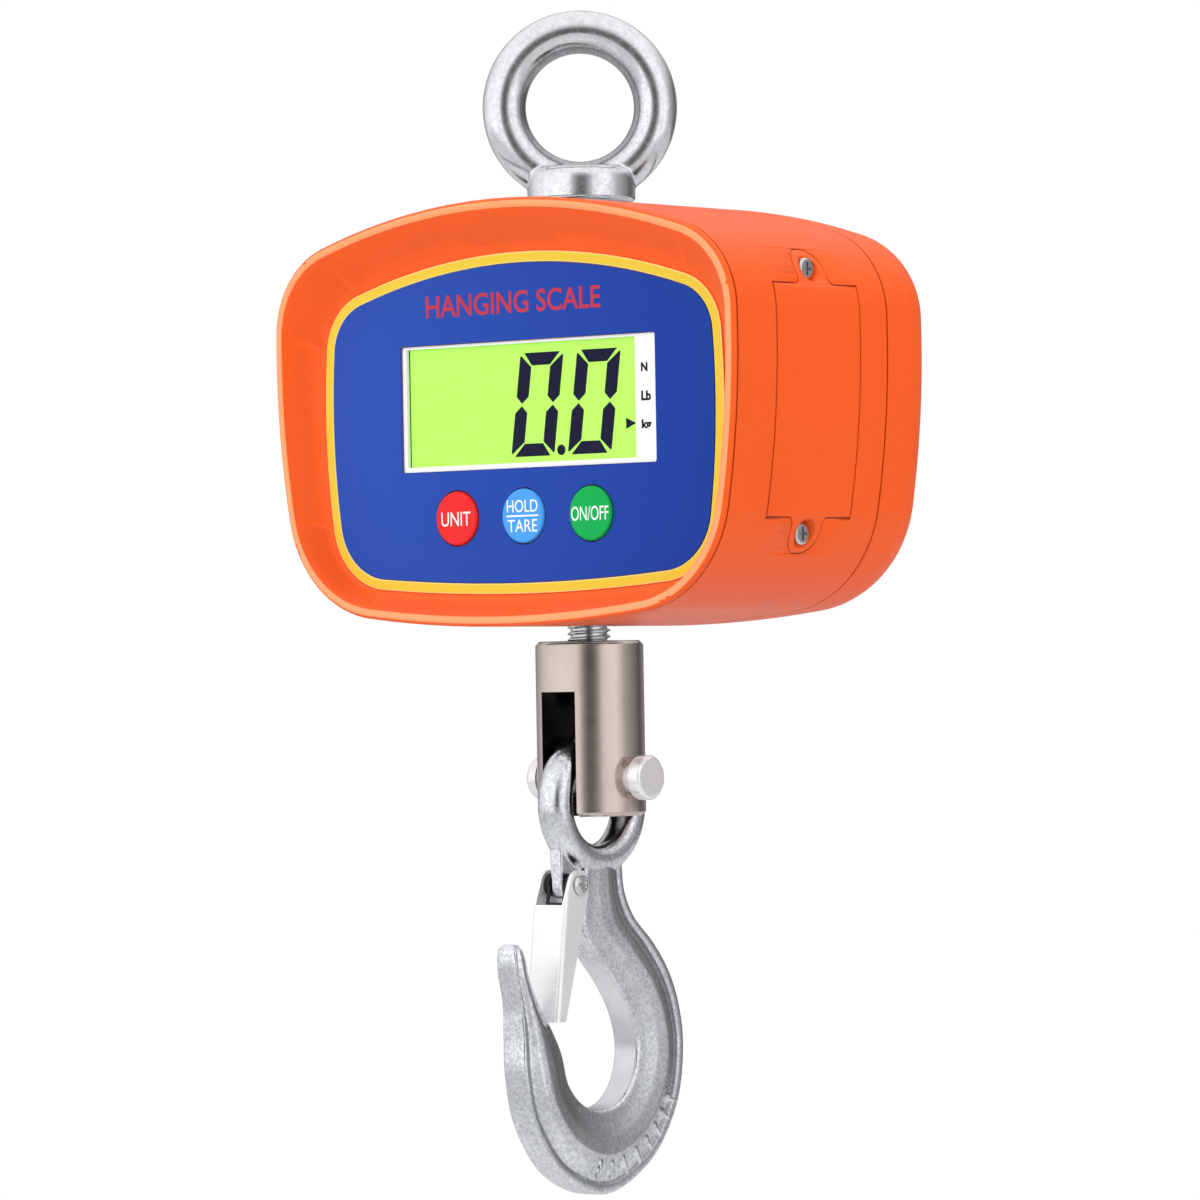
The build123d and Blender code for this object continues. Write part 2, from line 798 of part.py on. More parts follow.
def make_pin_cap():
    """Domed retaining cap on the far end of the pin."""
    half = clevis_d / 2
    cap = rod_x(pin_head_d, -half - pin_cap_t, -half - 0.4, 0, pin_z)
    cap = fillet(cap.edges().group_by(Axis.X)[0], 2.4)
    return cap - rod_x(pin_d, -half - pin_cap_t + 1.2, -half, 0, pin_z)


# ==================================================================== hook
def hook_stations():
    """Inner point, outer point and three widths along the hook."""
    wide = (hook_inner_w, hook_mid_w, hook_outer_w)
    return [
        ((-8.6, -211.0), (9.4, -211.0), (7.6, 9.4, 7.0)),
        ((-8.2, -219.0), (9.7, -218.0), (7.6, 9.3, 7.0)),
        ((-9.4, -227.5), (14.0, -225.5), (7.8, 10.2, 7.2)),
        ((-3.6, -235.0), (21.5, -232.0), (8.2, 12.2, 7.6)),
        ((4.6, -243.6), (28.2, -240.5), (8.6, 13.0, 7.8)),
        ((10.4, -252.4), (32.2, -250.0), wide),
        ((12.6, -262.0), (33.8, -262.5), wide),
        ((10.0, -270.6), (30.4, -278.5), wide),
        ((4.4, -275.9), (19.0, -293.2), wide),
        ((-3.2, -277.6), (-0.6, -301.3), wide),
        ((-10.8, -275.6), (-19.6, -295.2), wide),
        ((-16.6, -269.9), (-31.2, -281.4), (8.6, 13.0, 7.8)),
        ((-19.2, -261.6), (-35.0, -267.5), (8.4, 12.2, 7.6)),
        ((-23.0, -254.8), (-35.4, -256.0), (8.2, 11.2, 7.4)),
        ((-28.2, -247.4), (-35.9, -247.0), (7.6, 9.6, 6.8)),
        ((-32.0, -240.2), (-37.6, -238.6), (6.8, 8.2, 6.2)),
        ((-33.2, -234.2), (-38.0, -233.2), (5.8, 6.8, 5.4)),
        ((-34.2, -231.4), (-37.2, -230.9), (4.0, 4.6, 3.8)),
    ]


def hook_section(inner, outer, widths):
    """Closed six-sided section between an inner and an outer point."""
    half_in = widths[0] / 2
    half_mid = widths[1] / 2
    half_out = widths[2] / 2
    mid_y = inner[0] + 0.52 * (outer[0] - inner[0])
    mid_z = inner[1] + 0.52 * (outer[1] - inner[1])
    points = [
        (half_in, inner[0], inner[1]),
        (half_mid, mid_y, mid_z),
        (half_out, outer[0], outer[1]),
        (-half_out, outer[0], outer[1]),
        (-half_mid, mid_y, mid_z),
        (-half_in, inner[0], inner[1]),
    ]
    return Face(Wire.make_polygon([Vector(*p) for p in points], close=True))


def make_hook_lug():
    """Ear that carries the latch rivet and runs up to the eye."""
    front = hook_lug_front_y
    low = hook_lug_low_z
    outline = make_face(Polyline(
        (-4.0, -204.0), (front - 0.6, -203.0), (front, low), (-5.0, low), close=True,
    ))
    corners = outline.vertices().sort_by(Axis.Y)[:2].sort_by(Axis.X)
    outline = fillet(corners[0], 3.4)
    place = Plane(origin=(-hook_lug_t / 2, 0, 0), x_dir=(0, 1, 0), z_dir=(1, 0, 0))
    return extrude(place * outline, hook_lug_t)


def make_hook():
    """Forged hook with its eye, lug and raised band on the flank."""
    sections = [hook_section(*station) for station in hook_stations()]
    blade = loft(sections)
    eye_r = (hook_eye_bore_d + hook_eye_outer_d) / 4
    radial = (hook_eye_outer_d - hook_eye_bore_d) / 4
    ring = Rot(0, 90, 0) * Torus(eye_r, radial)
    ring = Pos(0, 0, hook_eye_z) * ring
    trim = block(-hook_eye_t / 2, hook_eye_t / 2, -40, 40, -240, -160)
    ring = ring & trim
    clear = rod_x(hook_eye_bore_d, -20, 20, 0, hook_eye_z)
    hook = blade + ring + make_hook_lug()
    hook = hook - clear
    return hook - rod_x(rivet_d, -10, 10, latch_y, latch_z)


def make_latch_rivet():
    """Rivet that carries the latch, fixed in the lug."""
    half = latch_width / 2
    rivet = rod_x(rivet_d, -half - 0.4, half + 0.4, latch_y, latch_z)
    for side in (-1, 1):
        x0 = side * (half + 0.3)
        x1 = side * (half + 1.7)
        head = rod_x(rivet_head_d, min(x0, x1), max(x0, x1), latch_y, latch_z)
        rivet = rivet + head
    return rivet


def latch_front_y(z):
    """Front of the latch plate at a height."""
    return latch_plate_top_y + (z - latch_plate_top_z) * math.tan(math.radians(latch_lean))


def latch_flange():
    """Side view of a flange: a disc round the rivet drawn down to the narrow lower end."""
    low = latch_low_z
    front = latch_front_y(low)
    r = latch_flange_r
    plate = Polyline(
        (latch_plate_top_y, latch_plate_top_z), (latch_y - 0.93 * r, latch_z + 0.37 * r),
        (latch_y + 0.966 * r, latch_z - 0.259 * r), (front + latch_low_depth, low + 4.0),
        (front + latch_low_depth - 1.2, low), (front, low), close=True,
    )
    return make_face(plate) + Pos(latch_y, latch_z) * Circle(r)


def make_latch():
    """Bent sheet latch with two flanges around the lug."""
    half = latch_width / 2
    inner = half - latch_sheet
    low = latch_low_z - 1
    top = latch_plate_top_z
    hollow = make_face(Polyline(
        (latch_front_y(low) + latch_sheet, low), (latch_plate_top_y + latch_sheet, top),
        (-30, top), (-30, -205), (0, -205), (0, low), close=True,
    ))
    place = Plane(origin=(-half, 0, 0), x_dir=(0, 1, 0), z_dir=(1, 0, 0))
    place_in = Plane(origin=(-inner, 0, 0), x_dir=(0, 1, 0), z_dir=(1, 0, 0))
    channel = extrude(place * latch_flange(), latch_width)
    channel = channel - extrude(place_in * hollow, 2 * inner)
    return channel - rod_x(rivet_d + 2 * shaft_clearance, -10, 10, latch_y, latch_z)


def make_latch_spring():
    """Torsion spring wound round the rivet beside the lug."""
    coils = []
    for side in (-1, 1):
        x0 = side * (hook_lug_t / 2 + 0.3)
        x1 = side * (hook_lug_t / 2 + 1.5)
        tube = rod_x(rivet_d + 2.4, min(x0, x1), max(x0, x1), latch_y, latch_z)
        tube = tube - rod_x(rivet_d + 0.1, -10, 10, latch_y, latch_z)
        coils.append(tube)
    return Compound(children=coils)


# ================================================================== export
save("lifting_eye", make_lifting_eye())
save("body_shell", make_body_shell())
save("front_cover", make_front_cover())
save("rear_cover", make_rear_cover())
save("front_gasket", make_gasket(shell_front_y - gasket_thickness, shell_front_y))
save("rear_gasket", make_gasket(shell_rear_y, shell_rear_y + gasket_thickness))
save("rear_screws", make_rear_screws())
save("cover_screws", make_cover_screws())
save("face_label", make_face_label())
save("label_border", make_label_border())
save("display_window", make_display_window())
save("display_frame", make_display_frame())
save("display_glass", make_display_glass())
save("backlight", make_backlight())
save("unit_key", make_key(-1))
save("hold_key", make_key(0))
save("power_key", make_key(1))
save("tact_switches", make_tact_switches())
save("main_board", make_main_board())
save("board_posts", make_board_posts())
save("board_screws", make_board_screws())
save("board_chips", make_board_chips())
save("load_cell", make_load_cell())
save("gauge_covers", make_gauge_covers())
save("cell_screws", make_cell_screws())
save("lower_stud", make_lower_stud())
save("lock_nut", make_lock_nut())
save("cell_cable", make_cell_cable())
save("battery_tray", make_battery_tray())
save("batteries", make_batteries())
save("battery_contacts", make_battery_contacts())
save("battery_door", make_battery_door())
save("door_screws", make_door_screws())
save("clevis", make_clevis())
save("clevis_pin", make_clevis_pin())
save("pin_cap", make_pin_cap())
save("hook", make_hook())
save("latch", make_latch())
save("latch_rivet", make_latch_rivet())
save("latch_spring", make_latch_spring())
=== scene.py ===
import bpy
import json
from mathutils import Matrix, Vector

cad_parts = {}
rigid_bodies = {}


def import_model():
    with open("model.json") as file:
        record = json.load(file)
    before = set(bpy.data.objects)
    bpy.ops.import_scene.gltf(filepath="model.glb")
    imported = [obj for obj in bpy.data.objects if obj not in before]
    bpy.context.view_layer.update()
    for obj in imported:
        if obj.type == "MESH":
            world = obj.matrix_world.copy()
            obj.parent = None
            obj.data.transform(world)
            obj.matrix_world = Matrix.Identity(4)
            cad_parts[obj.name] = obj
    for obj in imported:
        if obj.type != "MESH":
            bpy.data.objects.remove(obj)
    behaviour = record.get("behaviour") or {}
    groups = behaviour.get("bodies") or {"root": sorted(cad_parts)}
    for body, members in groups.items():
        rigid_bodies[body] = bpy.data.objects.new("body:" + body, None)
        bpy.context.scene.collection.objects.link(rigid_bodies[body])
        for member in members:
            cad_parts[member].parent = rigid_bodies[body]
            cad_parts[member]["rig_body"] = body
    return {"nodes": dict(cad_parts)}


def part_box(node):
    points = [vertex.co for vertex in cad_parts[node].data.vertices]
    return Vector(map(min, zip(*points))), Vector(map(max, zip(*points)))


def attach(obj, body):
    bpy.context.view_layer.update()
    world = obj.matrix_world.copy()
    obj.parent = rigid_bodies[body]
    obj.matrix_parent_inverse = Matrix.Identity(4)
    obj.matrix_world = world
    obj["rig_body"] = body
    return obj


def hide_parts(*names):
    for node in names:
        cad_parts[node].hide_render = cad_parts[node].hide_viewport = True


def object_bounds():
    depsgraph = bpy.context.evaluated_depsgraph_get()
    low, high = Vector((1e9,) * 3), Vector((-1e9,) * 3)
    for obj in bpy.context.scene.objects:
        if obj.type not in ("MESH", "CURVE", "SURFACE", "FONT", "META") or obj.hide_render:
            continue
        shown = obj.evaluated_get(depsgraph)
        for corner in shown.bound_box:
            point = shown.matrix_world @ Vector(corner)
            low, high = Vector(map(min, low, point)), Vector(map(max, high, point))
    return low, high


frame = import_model()

"""Studio model of a hanging crane scale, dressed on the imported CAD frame.

Each sub-assembly is a class that builds its own pieces and gives them their
finish. Lengths are metres in the row frame: +X to the right of the reader,
-Y towards the reader, +Z up, origin at the centre of the lifting ring.
"""

import json
import logging
import math
from dataclasses import dataclass, field
from enum import Enum
from typing import Callable, Iterable, Sequence

import bmesh
import bpy
from mathutils import Matrix, Vector

CAD_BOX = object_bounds()
LOG = logging.getLogger("crane_scale")
MM = 0.001
Colour = tuple[float, float, float]


class Body(Enum):
    """Rigid bodies of the scale."""

    EYE = "eye"
    HOUSING = "housing"
    LEFT_KEY = "left_key"
    MIDDLE_KEY = "middle_key"
    RIGHT_KEY = "right_key"
    DOOR = "door"
    FORK = "fork"
    HOOK = "load_hook"
    LATCH = "safety_latch"


# ------------------------------------------------------------------ shader graph
class Link:
    """A node socket that can be used in Python arithmetic."""

    def __init__(self, graph: "Graph", socket: bpy.types.NodeSocket) -> None:
        """Keep the socket and the graph it belongs to."""
        self.graph = graph
        self.socket = socket

    def _math(self, operation: str, first: object, second: object) -> "Link":
        """Add one Math node on two operands."""
        return self.graph.node("ShaderNodeMath", {"operation": operation}, {0: first, 1: second})

    def __add__(self, other: object) -> "Link":
        """Sum."""
        return self._math("ADD", self, other)

    __radd__ = __add__

    def __mul__(self, other: object) -> "Link":
        """Product."""
        return self._math("MULTIPLY", self, other)

    __rmul__ = __mul__

    def __sub__(self, other: object) -> "Link":
        """Difference."""
        return self._math("SUBTRACT", self, other)

    def __rsub__(self, other: object) -> "Link":
        """Reflected difference."""
        return self._math("SUBTRACT", other, self)

    def __pow__(self, other: object) -> "Link":
        """Power."""
        return self._math("POWER", self, other)

    def between(self, low: float, high: float) -> "Link":
        """Rise from nought at low to one at high, held at both ends."""
        return self.graph.node("ShaderNodeMapRange", {"interpolation_type": "SMOOTHSTEP"},
                               {"Value": self, "From Min": low, "From Max": high})


class Graph:
    """Node tree of one material or world."""

    def __init__(self, tree: bpy.types.NodeTree) -> None:
        """Start from an empty tree."""
        self.tree = tree
        tree.nodes.clear()

    def node(self, kind: str, settings: dict | None = None, inputs: dict | None = None,
             output: int | str = 0) -> Link:
        """Add a node.

        Args:
            kind: Blender's node type.
            settings: attributes to set first; "stops" fills a colour ramp.
            inputs: socket values or links by name or index.
            output: the socket that is handed back.

        Returns:
            The chosen output as a Link.
        """
        made = self.tree.nodes.new(kind)
        for key, value in (settings or {}).items():
            if key == "stops":
                self._fill_ramp(made.color_ramp, value)
            else:
                setattr(made, key, value)
        for key, value in (inputs or {}).items():
            if isinstance(value, Link):
                self.tree.links.new(value.socket, made.inputs[key])
            else:
                made.inputs[key].default_value = value
        return Link(self, made.outputs[output]) if len(made.outputs) else Link(self, None)

    @staticmethod
    def _fill_ramp(ramp: bpy.types.ColorRamp, stops: Sequence[tuple[float, Colour]]) -> None:
        """Set the stops of a colour ramp."""
        while len(ramp.elements) < len(stops):
            ramp.elements.new(0.5)
        for element, (place, colour) in zip(ramp.elements, stops):
            element.position = place
            element.color = (*colour, 1.0)

    def dot(self, first: Link, second: object) -> Link:
        """Dot product of two vectors."""
        settings = {"operation": "DOT_PRODUCT"}
        return self.node("ShaderNodeVectorMath", settings, {0: first, 1: second}, output="Value")

    def part(self, vector: Link, axis: str) -> Link:
        """One component of a vector, named X, Y or Z."""
        return self.node("ShaderNodeSeparateXYZ", {}, {0: vector}, output=axis)

    def position(self, scale: Colour = (1.0, 1.0, 1.0)) -> Link:
        """Object coordinates, stretched by a scale."""
        place = self.node("ShaderNodeTexCoord", output="Object")
        return self.node("ShaderNodeMapping", {}, {"Vector": place, "Scale": scale})

    def noise(self, scale: float, detail: float = 3.0, stretch: Colour = (1.0, 1.0, 1.0),
              rough: float = 0.5) -> Link:
        """Fractal noise in object space, from 0 to 1."""
        return self.node("ShaderNodeTexNoise", {}, {
            "Vector": self.position(stretch), "Scale": scale, "Detail": detail, "Roughness": rough})

    def cells(self, scale: float) -> Link:
        """Distance to the nearest cell centre."""
        inputs = {"Vector": self.position(), "Scale": scale}
        return self.node("ShaderNodeTexVoronoi", {}, inputs, output="Distance")

    def ramp(self, value: Link, stops: Sequence[tuple[float, Colour]]) -> Link:
        """Colour looked up from a value."""
        return self.node("ShaderNodeValToRGB", {"stops": stops}, {"Fac": value})

    def blend(self, amount: object, first: object, second: object) -> Link:
        """Mix two colours."""
        return self.node("ShaderNodeMix", {"data_type": "RGBA"}, {0: amount, 6: first, 7: second}, output=2)

    def bump(self, height: Link, depth: float, strength: float = 1.0) -> Link:
        """Normal from a height."""
        return self.node("ShaderNodeBump", {}, {"Height": height, "Distance": depth, "Strength": strength},
                         output="Normal")


def rgba(colour: Colour, gain: float = 1.0, lift: float = 0.0) -> tuple[float, float, float, float]:
    """Opaque colour, made brighter or darker by a gain and a lift."""
    return (*(c * gain + lift for c in colour), 1.0)


def surface(name: str, draw: Callable[[Graph], dict], clear: bool = False) -> bpy.types.Material:
    """Make a material from a function that returns the shader's sockets.

    Args:
        name: material name.
        draw: takes the graph and returns Principled inputs.
        clear: True for a see-through finish.

    Returns:
        The finished material.
    """
    material = bpy.data.materials.new(name)
    material.use_nodes = True
    graph = Graph(material.node_tree)
    shader = graph.node("ShaderNodeBsdfPrincipled", {}, draw(graph))
    graph.node("ShaderNodeOutputMaterial", {}, {"Surface": shader})
    if clear:
        material.surface_render_method = "BLENDED"
    return material


# ---------------------------------------------------------------------- finishes
@dataclass(frozen=True)
class MouldedPlastic:
    """Injection moulded plastic with a fine leather grain."""

    name: str
    colour: Colour
    shade: Colour
    roughness: float = 0.42
    grain: float = 1500.0
    depth: float = 0.00006
    specular: float = 0.3

    def material(self) -> bpy.types.Material:
        """Grained plastic."""
        def draw(graph: Graph) -> dict:
            """Sockets of the finish."""
            patch = graph.noise(28.0, 3.0)
            pebble = graph.cells(self.grain)
            fine = graph.noise(self.grain * 1.6, 2.0)
            height = pebble * 0.7 + fine * 0.5
            speck = fine.between(0.35, 0.65)
            scuff = graph.noise(160.0, 4.0)
            tone = graph.blend(patch * 0.6 + speck * 0.3, rgba(self.colour), rgba(self.shade))
            return {
                "Base Color": tone,
                "Roughness": scuff * 0.12 + (self.roughness - 0.06),
                "Normal": graph.bump(height, self.depth, 0.8),
                "Specular IOR Level": self.specular,
            }
        return surface(self.name, draw)


@dataclass(frozen=True)
class PrintedSheet:
    """Printed polycarbonate overlay whose tone shifts from left to right as painted light and shade."""

    name: str
    colour: Colour
    shade: Colour
    roughness: float = 0.34

    def material(self) -> bpy.types.Material:
        """Satin print."""
        def draw(graph: Graph) -> dict:
            """Sockets of the finish."""
            across = graph.part(graph.position(), "X")
            # Painted light and shade: the colour at the left runs into the shade at the right, with a little
            # random tone on top.
            side_shade = across.between(-0.075, 0.075) * 0.8 + graph.noise(24.0, 2.0) * 0.2
            tooth = graph.noise(2600.0, 2.0)
            return {
                "Base Color": graph.blend(side_shade, rgba(self.colour), rgba(self.shade)),
                "Roughness": tooth * 0.08 + (self.roughness - 0.04),
                "Normal": graph.bump(tooth, 0.00001, 0.4),
                "Specular IOR Level": 0.12,
            }
        return surface(self.name, draw)


@dataclass(frozen=True)
class PlatedSteel:
    """Turned or drawn steel with plating and fine tool marks."""

    name: str
    colour: Colour
    shade: Colour
    roughness: float = 0.2
    marks: Colour = (1.0, 1.0, 12.0)
    scale: float = 160.0
    depth: float = 0.00002
    metallic: float = 1.0

    def material(self) -> bpy.types.Material:
        """Plated metal."""
        def draw(graph: Graph) -> dict:
            """Sockets of the finish."""
            line = graph.noise(self.scale, 3.0, self.marks)
            cloud = graph.noise(70.0, 4.0)
            return {
                "Base Color": graph.blend(cloud.between(0.3, 0.7), rgba(self.colour), rgba(self.shade)),
                "Metallic": self.metallic,
                "Roughness": line * 0.10 + cloud * 0.08 + (self.roughness - 0.09),
                "Normal": graph.bump(line, self.depth, 0.5),
            }
        return surface(self.name, draw)


@dataclass(frozen=True)
class ForgedZinc:
    """Forged steel under zinc: mottled and pitted, with painted shade and a rougher finish in the bore of the
    ring.
    """

    name: str
    colour: Colour
    shade: Colour
    roughness: float = 0.36
    grain: float = 900.0
    depth: float = 0.00028
    bore: tuple[float, float] | None = None
    bore_yaw: float = 0.0

    def material(self) -> bpy.types.Material:
        """Zinc-coated forging."""
        def draw(graph: Graph) -> dict:
            """Sockets of the finish."""
            skin = graph.noise(self.grain, 5.0, rough=0.66)
            lumps = graph.noise(self.grain * 0.3, 4.0)
            cloud = graph.noise(75.0, 5.0)
            mottle = skin.between(0.38, 0.66) * 0.65 + cloud.between(0.3, 0.7) * 0.35
            tone = graph.blend(mottle, rgba(self.colour), rgba(self.shade))
            rough = mottle * 0.16 + (self.roughness - 0.08)
            # Painted shade: the bore of the ring is made darker, and also rougher.
            if self.bore:
                painted_bore_shade = self.bore_shade_mask(graph) * (skin * 0.5 + 0.6)
                tone = graph.blend(painted_bore_shade, tone, rgba(self.shade, 0.36))
                rough = rough + painted_bore_shade * 0.12
            return {
                "Base Color": tone,
                "Metallic": 1.0,
                "Roughness": rough,
                "Normal": graph.bump(skin * 0.45 + lumps * 0.55, self.depth, 0.7),
            }
        return surface(self.name, draw)

    def bore_shade_mask(self, graph: Graph) -> Link:
        """One in the bore of the ring, where shade is painted, nought outside it."""
        place = graph.position()
        flat = (math.cos(self.bore_yaw), math.sin(self.bore_yaw), 0.0)
        side = graph.dot(place, flat)
        rise = graph.part(place, "Z")
        radius = (side * side + rise * rise) ** 0.5
        return 1.0 - radius.between(*self.bore)


@dataclass(frozen=True)
class SoftRubber:
    """Matt rubber or dark seal."""

    name: str
    colour: Colour
    roughness: float = 0.7

    def material(self) -> bpy.types.Material:
        """Rubber."""
        def draw(graph: Graph) -> dict:
            """Sockets of the finish."""
            dust = graph.noise(600.0, 3.0)
            return {
                "Base Color": graph.blend(dust * 0.4, rgba(self.colour), rgba(self.colour, 1.8, 0.01)),
                "Roughness": dust * 0.1 + self.roughness,
                "Normal": graph.bump(dust, 0.00004, 0.4),
            }
        return surface(self.name, draw)


@dataclass(frozen=True)
class LitCell:
    """Backlit liquid crystal cell."""

    name: str
    colour: Colour
    glow: float = 0.35

    def material(self) -> bpy.types.Material:
        """Lit display."""
        def draw(graph: Graph) -> dict:
            """Sockets of the finish."""
            haze = graph.noise(40.0, 2.0)
            tint = graph.blend(haze * 0.3, rgba(self.colour), rgba(self.colour, 0.92))
            return {
                "Base Color": tint,
                "Roughness": haze * 0.05 + 0.3,
                "Emission Color": tint,
                "Emission Strength": self.glow,
            }
        return surface(self.name, draw)


@dataclass(frozen=True)
class ClearPane:
    """Thin clear pane with light handling marks."""

    name: str
    alpha: float = 0.004

    def material(self) -> bpy.types.Material:
        """Clear pane."""
        def draw(graph: Graph) -> dict:
            """Sockets of the finish."""
            smear = graph.noise(90.0, 4.0)
            return {
                "Base Color": rgba((0.55, 0.58, 0.60)),
                "Roughness": smear * 0.06 + 0.04,
                "Alpha": smear * 0.006 + self.alpha,
            }
        return surface(self.name, draw, clear=True)


@dataclass(frozen=True)
class Ink:
    """Screen-printed ink or a dark display segment."""

    name: str
    colour: Colour
    roughness: float = 0.4

    def material(self) -> bpy.types.Material:
        """Ink."""
        def draw(graph: Graph) -> dict:
            """Sockets of the finish."""
            tooth = graph.noise(1800.0, 2.0)
            return {
                "Base Color": graph.blend(tooth * 0.25, rgba(self.colour), rgba(self.colour, 0.8)),
                "Roughness": tooth * 0.08 + self.roughness,
                "Specular IOR Level": 0.1,
            }
        return surface(self.name, draw)


class Finish(Enum):
    """Every finish on the scale."""

    ORANGE = MouldedPlastic("orange_abs", (0.95, 0.112, 0.008), (0.88, 0.096, 0.006), 0.40, 1300.0, 0.00012)
    # Lighter orange for the flat of the front rim: a painted highlight.
    RIM_HIGHLIGHT = MouldedPlastic("rim_painted_highlight", (0.96, 0.360, 0.150), (0.95, 0.290, 0.100), 0.3, 1500.0, 0.00002, 0.5)
    # Lighter cream for the broken edge of the yellow border: a painted highlight.
    BORDER_HIGHLIGHT = PrintedSheet("border_painted_highlight", (0.97, 0.80, 0.32), (0.95, 0.76, 0.28), 0.3)
    SEAL = SoftRubber("dark_seal", (0.035, 0.008, 0.004))
    BLUE = PrintedSheet("label_blue", (0.023, 0.076, 0.420), (0.006, 0.040, 0.300), 0.4)
    YELLOW = PrintedSheet("label_yellow", (0.80, 0.57, 0.050), (0.76, 0.54, 0.045), 0.4)
    WHITE = MouldedPlastic("white_mask", (0.93, 0.93, 0.93), (0.90, 0.90, 0.91), 0.5, 1200.0, 0.00001)
    LCD = LitCell("lcd_green", (0.400, 0.87, 0.085), 0.22)
    GUIDE = LitCell("light_guide", (0.80, 0.95, 0.75), 0.1)
    PANE = ClearPane("clear_window")
    SEGMENT = Ink("segment_navy", (0.002, 0.001, 0.026), 0.45)
    RED_INK = Ink("ink_red", (0.500, 0.040, 0.075))
    WHITE_INK = Ink("ink_white", (0.92, 0.93, 0.95))
    BLACK_INK = Ink("ink_black", (0.006, 0.006, 0.008))
    KEY_RED = PrintedSheet("key_red", (0.790, 0.026, 0.026), (0.760, 0.022, 0.022), 0.4)
    KEY_BLUE = PrintedSheet("key_blue", (0.070, 0.350, 0.860), (0.060, 0.320, 0.830), 0.4)
    KEY_GREEN = PrintedSheet("key_green", (0.006, 0.410, 0.085), (0.004, 0.380, 0.075), 0.4)
    ZINC = ForgedZinc("bright_zinc", (0.86, 0.87, 0.89), (0.68, 0.69, 0.72), 0.22, 700.0, 0.00006,
                      (0.0148, 0.0186), math.radians(40.0))
    SHEET = PlatedSteel("latch_zinc", (0.90, 0.90, 0.91), (0.84, 0.84, 0.86), 0.28, (1.0, 1.0, 3.0), 120.0,
                        0.00002, 0.5)
    NICKEL = PlatedSteel("nickel_steel", (0.64, 0.545, 0.495), (0.59, 0.500, 0.455), 0.2, (1.0, 1.0, 5.0), 60.0,
                         0.000004)
    # Near-black steel for the inside of the fork's slot: painted shade.
    SLOT_SHADE = PlatedSteel("slot_painted_shade", (0.055, 0.045, 0.042), (0.020, 0.016, 0.015), 0.4, (1.0, 8.0, 1.0),
                         200.0)
    PIN = PlatedSteel("pin_steel", (0.90, 0.90, 0.90), (0.82, 0.82, 0.83), 0.28, (1.0, 1.0, 1.0), 400.0,
                      0.00002, 0.6)
    SCREW = PlatedSteel("screw_steel", (0.72, 0.72, 0.73), (0.60, 0.60, 0.62), 0.22, (1.0, 1.0, 1.0), 500.0)
    FORGED = ForgedZinc("galvanised_steel", (0.87, 0.89, 0.92), (0.50, 0.515, 0.545), 0.19, 1000.0, 0.00016)
    GROUND = PlatedSteel("ground_steel", (0.80, 0.81, 0.83), (0.60, 0.61, 0.64), 0.30, (6.0, 1.0, 1.0), 260.0,
                         0.00004)
    SPRING = PlatedSteel("spring_wire", (0.05, 0.05, 0.055), (0.03, 0.03, 0.03), 0.35, (1.0, 1.0, 1.0), 300.0)
    BLACK = MouldedPlastic("black_plastic", (0.02, 0.02, 0.022), (0.03, 0.03, 0.03), 0.5, 1000.0, 0.00003)
    BOARD = PrintedSheet("board_green", (0.01, 0.14, 0.045), (0.008, 0.10, 0.03), 0.35)
    ALLOY = PlatedSteel("cell_alloy", (0.72, 0.73, 0.75), (0.66, 0.67, 0.70), 0.3, (12.0, 1.0, 1.0), 80.0)
    JACKET = PrintedSheet("battery_jacket", (0.02, 0.02, 0.024), (0.04, 0.04, 0.045), 0.3)
    CABLE = SoftRubber("cable_jacket", (0.02, 0.02, 0.02), 0.55)


class Palette:
    """Makes each material once."""

    made: dict[Finish, bpy.types.Material] = {}

    @classmethod
    def get(cls, finish: Finish) -> bpy.types.Material:
        """The material of a finish."""
        if finish not in cls.made:
            cls.made[finish] = finish.value.material()
        return cls.made[finish]


# ---------------------------------------------------------------------- helpers
def dress(node: str, finish: Finish) -> None:
    """Give a CAD node its finish.

    Args:
        node: CAD node name.
        finish: the finish to use.
    """
    piece = frame["nodes"][node]
    piece.data.materials.clear()
    piece.data.materials.append(Palette.get(finish))
    LOG.info("dressed %s with %s", node, finish.value.name)


def settle(mesh: bmesh.types.BMesh, name: str, finish: Finish, body: Body, slot: str,
           replaces: Sequence[str] = (), smooth: float = 40.0,
           second: Finish | None = None) -> bpy.types.Object:
    """Turn a bmesh into a finished piece.

    Args:
        mesh: the shape, in metres in the row frame; it is freed.
        name: piece name.
        finish: its finish.
        body: the body it rides on.
        slot: the record's material slot; not used.
        replaces: CAD nodes that it stands for.
        smooth: edges sharper than this many degrees stay crisp.
        second: finish of the faces whose material index is one.

    Returns:
        The new object.
    """
    bmesh.ops.recalc_face_normals(mesh, faces=mesh.faces)
    data = bpy.data.meshes.new(name)
    mesh.to_mesh(data)
    mesh.free()
    piece = bpy.data.objects.new(name, data)
    bpy.context.scene.collection.objects.link(piece)
    data.materials.append(Palette.get(finish))
    if second:
        data.materials.append(Palette.get(second))
    data.shade_smooth()
    data.set_sharp_from_angle(angle=math.radians(smooth))
    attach(piece, body.value)
    if replaces:
        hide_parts(*replaces)
    LOG.info("built %s: %d faces", name, len(data.polygons))
    return piece


